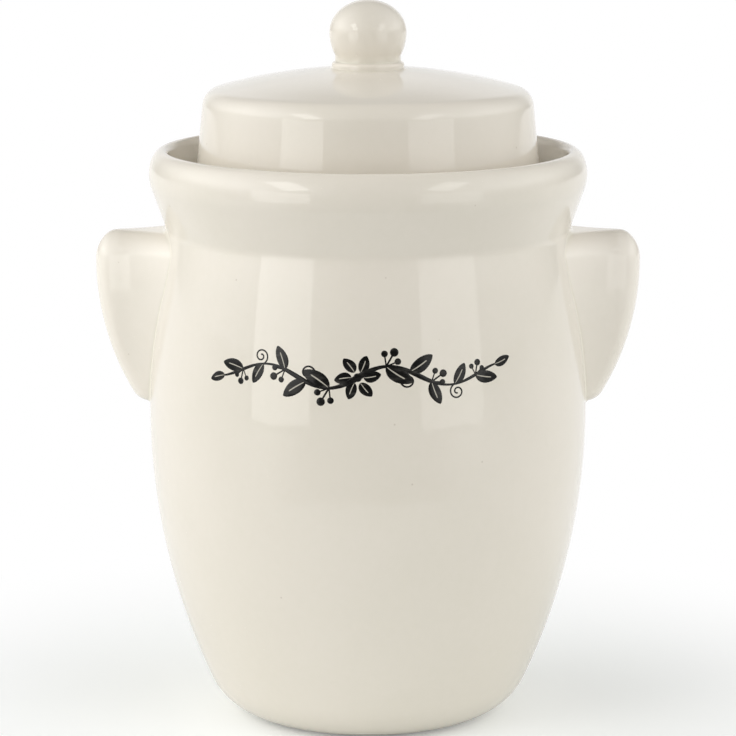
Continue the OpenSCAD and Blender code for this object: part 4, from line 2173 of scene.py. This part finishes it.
@dataclass
class Studio:
    """A round white table before a white background, lit by softboxes, and the camera.

    Attributes:
        camera_distance: Distance of the camera in front of the pot's axis.
        camera_height: Height of the camera.
        camera_tilt: How far it looks down, in degrees.
        focal_pixels: Focal length in pixels of the photograph.
        frame_pixels: Width of the photograph.
        sensor_w: Width of the camera's sensor, in its own unit.
        floor_r: Radius of the floor.
        floor_first_r: Radius of the floor's first ring.
        floor_rings: Number of its rings.
        floor_count: Number of points on each ring.
        table_r: Radius of the round white table.
        shadow_r: Radius inside which the floor shows the pot's full shadow.
        fade_r: Radius beyond which the floor is seen as plain white.
        table_colour: Colour of the table.
        floor_colour: Colour of the floor round it.
        aside_start: How far to the side the floor starts to turn to the table's colour.
        aside_full: How far to the side it has that colour, where 1 is straight to the side.
        floor_back: Depth over which the floor turns to plain white in reflections.
        wall_back_start: How far back the background starts to, where 1 is straight behind.
        wall_back_full: How far back it is plain white in reflections.
        lift: Light added to the floor where it is seen directly.
        surround: The walls and the ceiling.
        softboxes: The lamps.
    """

    camera_distance: float = 1.5
    camera_height: float = 0.4439
    camera_tilt: float = 10.68
    focal_pixels: float = 3296.0
    frame_pixels: float = 736.0
    sensor_w: float = 36.0
    floor_r: float = 9.0
    floor_first_r: float = 0.02
    floor_rings: int = 24
    floor_count: int = 96
    table_r: float = 0.40
    shadow_r: float = 0.10
    fade_r: float = 0.31
    table_colour: Colour = (0.88, 0.90, 0.89)
    floor_colour: Colour = (0.30, 0.30, 0.30)
    aside_start: float = 0.5
    aside_full: float = 0.8
    floor_back: float = 0.3
    wall_back_start: float = 0.8
    wall_back_full: float = 0.95
    lift: float = 0.18
    surround: Surround = Surround()
    softboxes: tuple[Softbox, ...] = SOFTBOXES

    def camera(self) -> None:
        """Adds the camera at the photograph's viewpoint."""
        data = bpy.data.cameras.new("camera")
        data.sensor_width = self.sensor_w
        data.lens = self.focal_pixels / self.frame_pixels * self.sensor_w
        obj = placed("camera", data)
        obj.location = (0.0, -self.camera_distance, self.camera_height)
        obj.rotation_euler = (math.radians(90 - self.camera_tilt), 0.0, 0.0)
        bpy.context.scene.camera = obj

    @staticmethod
    def plain_share(tree: Tree, behind: Socket) -> Socket:
        """Share of plain white: all of it for the camera, and behind the pot for reflections."""
        seen = tree.add("ShaderNodeLightPath").outputs
        mirrored = tree.plus(seen["Is Glossy Ray"], seen["Is Transmission Ray"])
        return tree.line(mirrored, behind, seen["Is Camera Ray"])

    def floor_finish(self) -> bpy.types.Material:
        """Finish of the floor: a white table, seen as plain white outside the pot's shadow.

        Returns:
            The material.
        """
        material, tree = open_material("studio_floor")
        place = tree.add("ShaderNodeTexCoord").outputs["Object"]
        reach = tree.vector("LENGTH", place).outputs["Value"]
        off_table = tree.math("GREATER_THAN", reach, self.table_r)
        along = tree.parts(place)
        aside = tree.math("DIVIDE", tree.math("ABSOLUTE", along["X"]), reach)
        aside = tree.ease(aside, self.aside_start, self.aside_full)
        around = tree.mix(aside, self.floor_colour, self.table_colour)
        colour = tree.mix(off_table, self.table_colour, around)
        behind = tree.ease(along["Y"], -self.floor_back, self.floor_back)
        plain = tree.add("ShaderNodeBsdfDiffuse", {"Color": colour}).outputs[0]
        glow = tree.add("ShaderNodeEmission", {"Color": WHITE, "Strength": self.lift}).outputs[0]
        lifted = tree.add("ShaderNodeAddShader", {0: plain, 1: glow}).outputs[0]
        sheet = tree.add("ShaderNodeEmission", {"Color": WHITE, "Strength": 1.0}).outputs[0]
        fade = tree.ease(reach, self.shadow_r, self.fade_r)
        shown = tree.add("ShaderNodeMixShader", {0: fade, 1: lifted, 2: sheet}).outputs[0]
        share = self.plain_share(tree, behind)
        shader = tree.add("ShaderNodeMixShader", {0: share, 1: plain, 2: shown}).outputs[0]
        tree.add("ShaderNodeOutputMaterial", {"Surface": shader})
        return material

    def floor(self) -> None:
        """Adds the floor, a disc whose rings grow outwards."""
        rings = np.geomspace(self.floor_first_r, self.floor_r, self.floor_rings)
        count = self.floor_count
        turns = np.linspace(0, 2 * math.pi, count, endpoint=False)
        places = [(0.0, 0.0, 0.0)]
        places += [(r * math.cos(t), r * math.sin(t), 0.0) for r in rings for t in turns]
        faces = [(0, 1 + i, 1 + (i + 1) % count) for i in range(count)]
        for j in range(len(rings) - 1):
            low, high = 1 + j * count, 1 + (j + 1) * count
            for i in range(count):
                k = (i + 1) % count
                faces.append((low + i, high + i, high + k, low + k))
        mesh = bpy.data.meshes.new("studio_floor")
        mesh.from_pydata(places, [], faces)
        mesh.materials.append(self.floor_finish())
        obj = placed("studio_floor", mesh)

    def world(self) -> None:
        """Sets the walls and the ceiling, and the plain white where they are seen directly."""
        world = bpy.data.worlds.new("studio")
        world.use_nodes = True
        bpy.context.scene.world = world
        tree = Tree(world.node_tree)
        toward = tree.add("ShaderNodeTexCoord").outputs["Generated"]
        depth = tree.parts(toward)["Y"]
        behind = tree.ease(depth, self.wall_back_start, self.wall_back_full)
        values = {"Color": self.surround.colour, "Strength": self.surround.level(tree, toward)}
        walls = tree.add("ShaderNodeBackground", values).outputs[0]
        white = tree.add("ShaderNodeBackground", {"Color": WHITE, "Strength": 1.0}).outputs[0]
        share = self.plain_share(tree, behind)
        shader = tree.add("ShaderNodeMixShader", {0: share, 1: walls, 2: white}).outputs[0]
        tree.add("ShaderNodeOutputWorld", {"Surface": shader})

    def build(self) -> None:
        """Builds the whole studio."""
        bpy.context.scene.view_settings.view_transform = "Standard"
        self.camera()
        self.floor()
        self.world()
        for softbox in self.softboxes:
            softbox.light()


def main() -> None:
    """Builds the studio and every piece of the pot."""
    logging.basicConfig(level=logging.INFO, format="%(name)s: %(message)s")
    Studio().build()
    clay = BareClay().make()
    crock_glaze = Glaze("crock_glaze").make()
    # The handles wear the crock's glaze; this paler copy paints the extra light that falls on the
    # handles from the sides.
    handle_glaze = Glaze(
        "handle_glaze",
        offset=(0.31, 0.07, 0.19),
        glaze=(0.845, 0.792, 0.705),
        thin=(0.865, 0.808, 0.712),
        full=(0.79, 0.745, 0.64),
    ).make()
    lid_glaze = Glaze("lid_glaze", offset=(0.13, 0.41, 0.05)).make()
    crock = Crock()
    collar = Collar(crock)
    pot = crock.build(collar.flare, collar.foot_mid_r, [crock_glaze, clay])
    collar.build([crock_glaze])
    for side in Side:
        LugHandle(side, crock, collar).build([handle_glaze])
    Lid().build([lid_glaze, clay])
    InkSprig().build(pot, Ink().make())


if __name__ == "__main__":
    main()
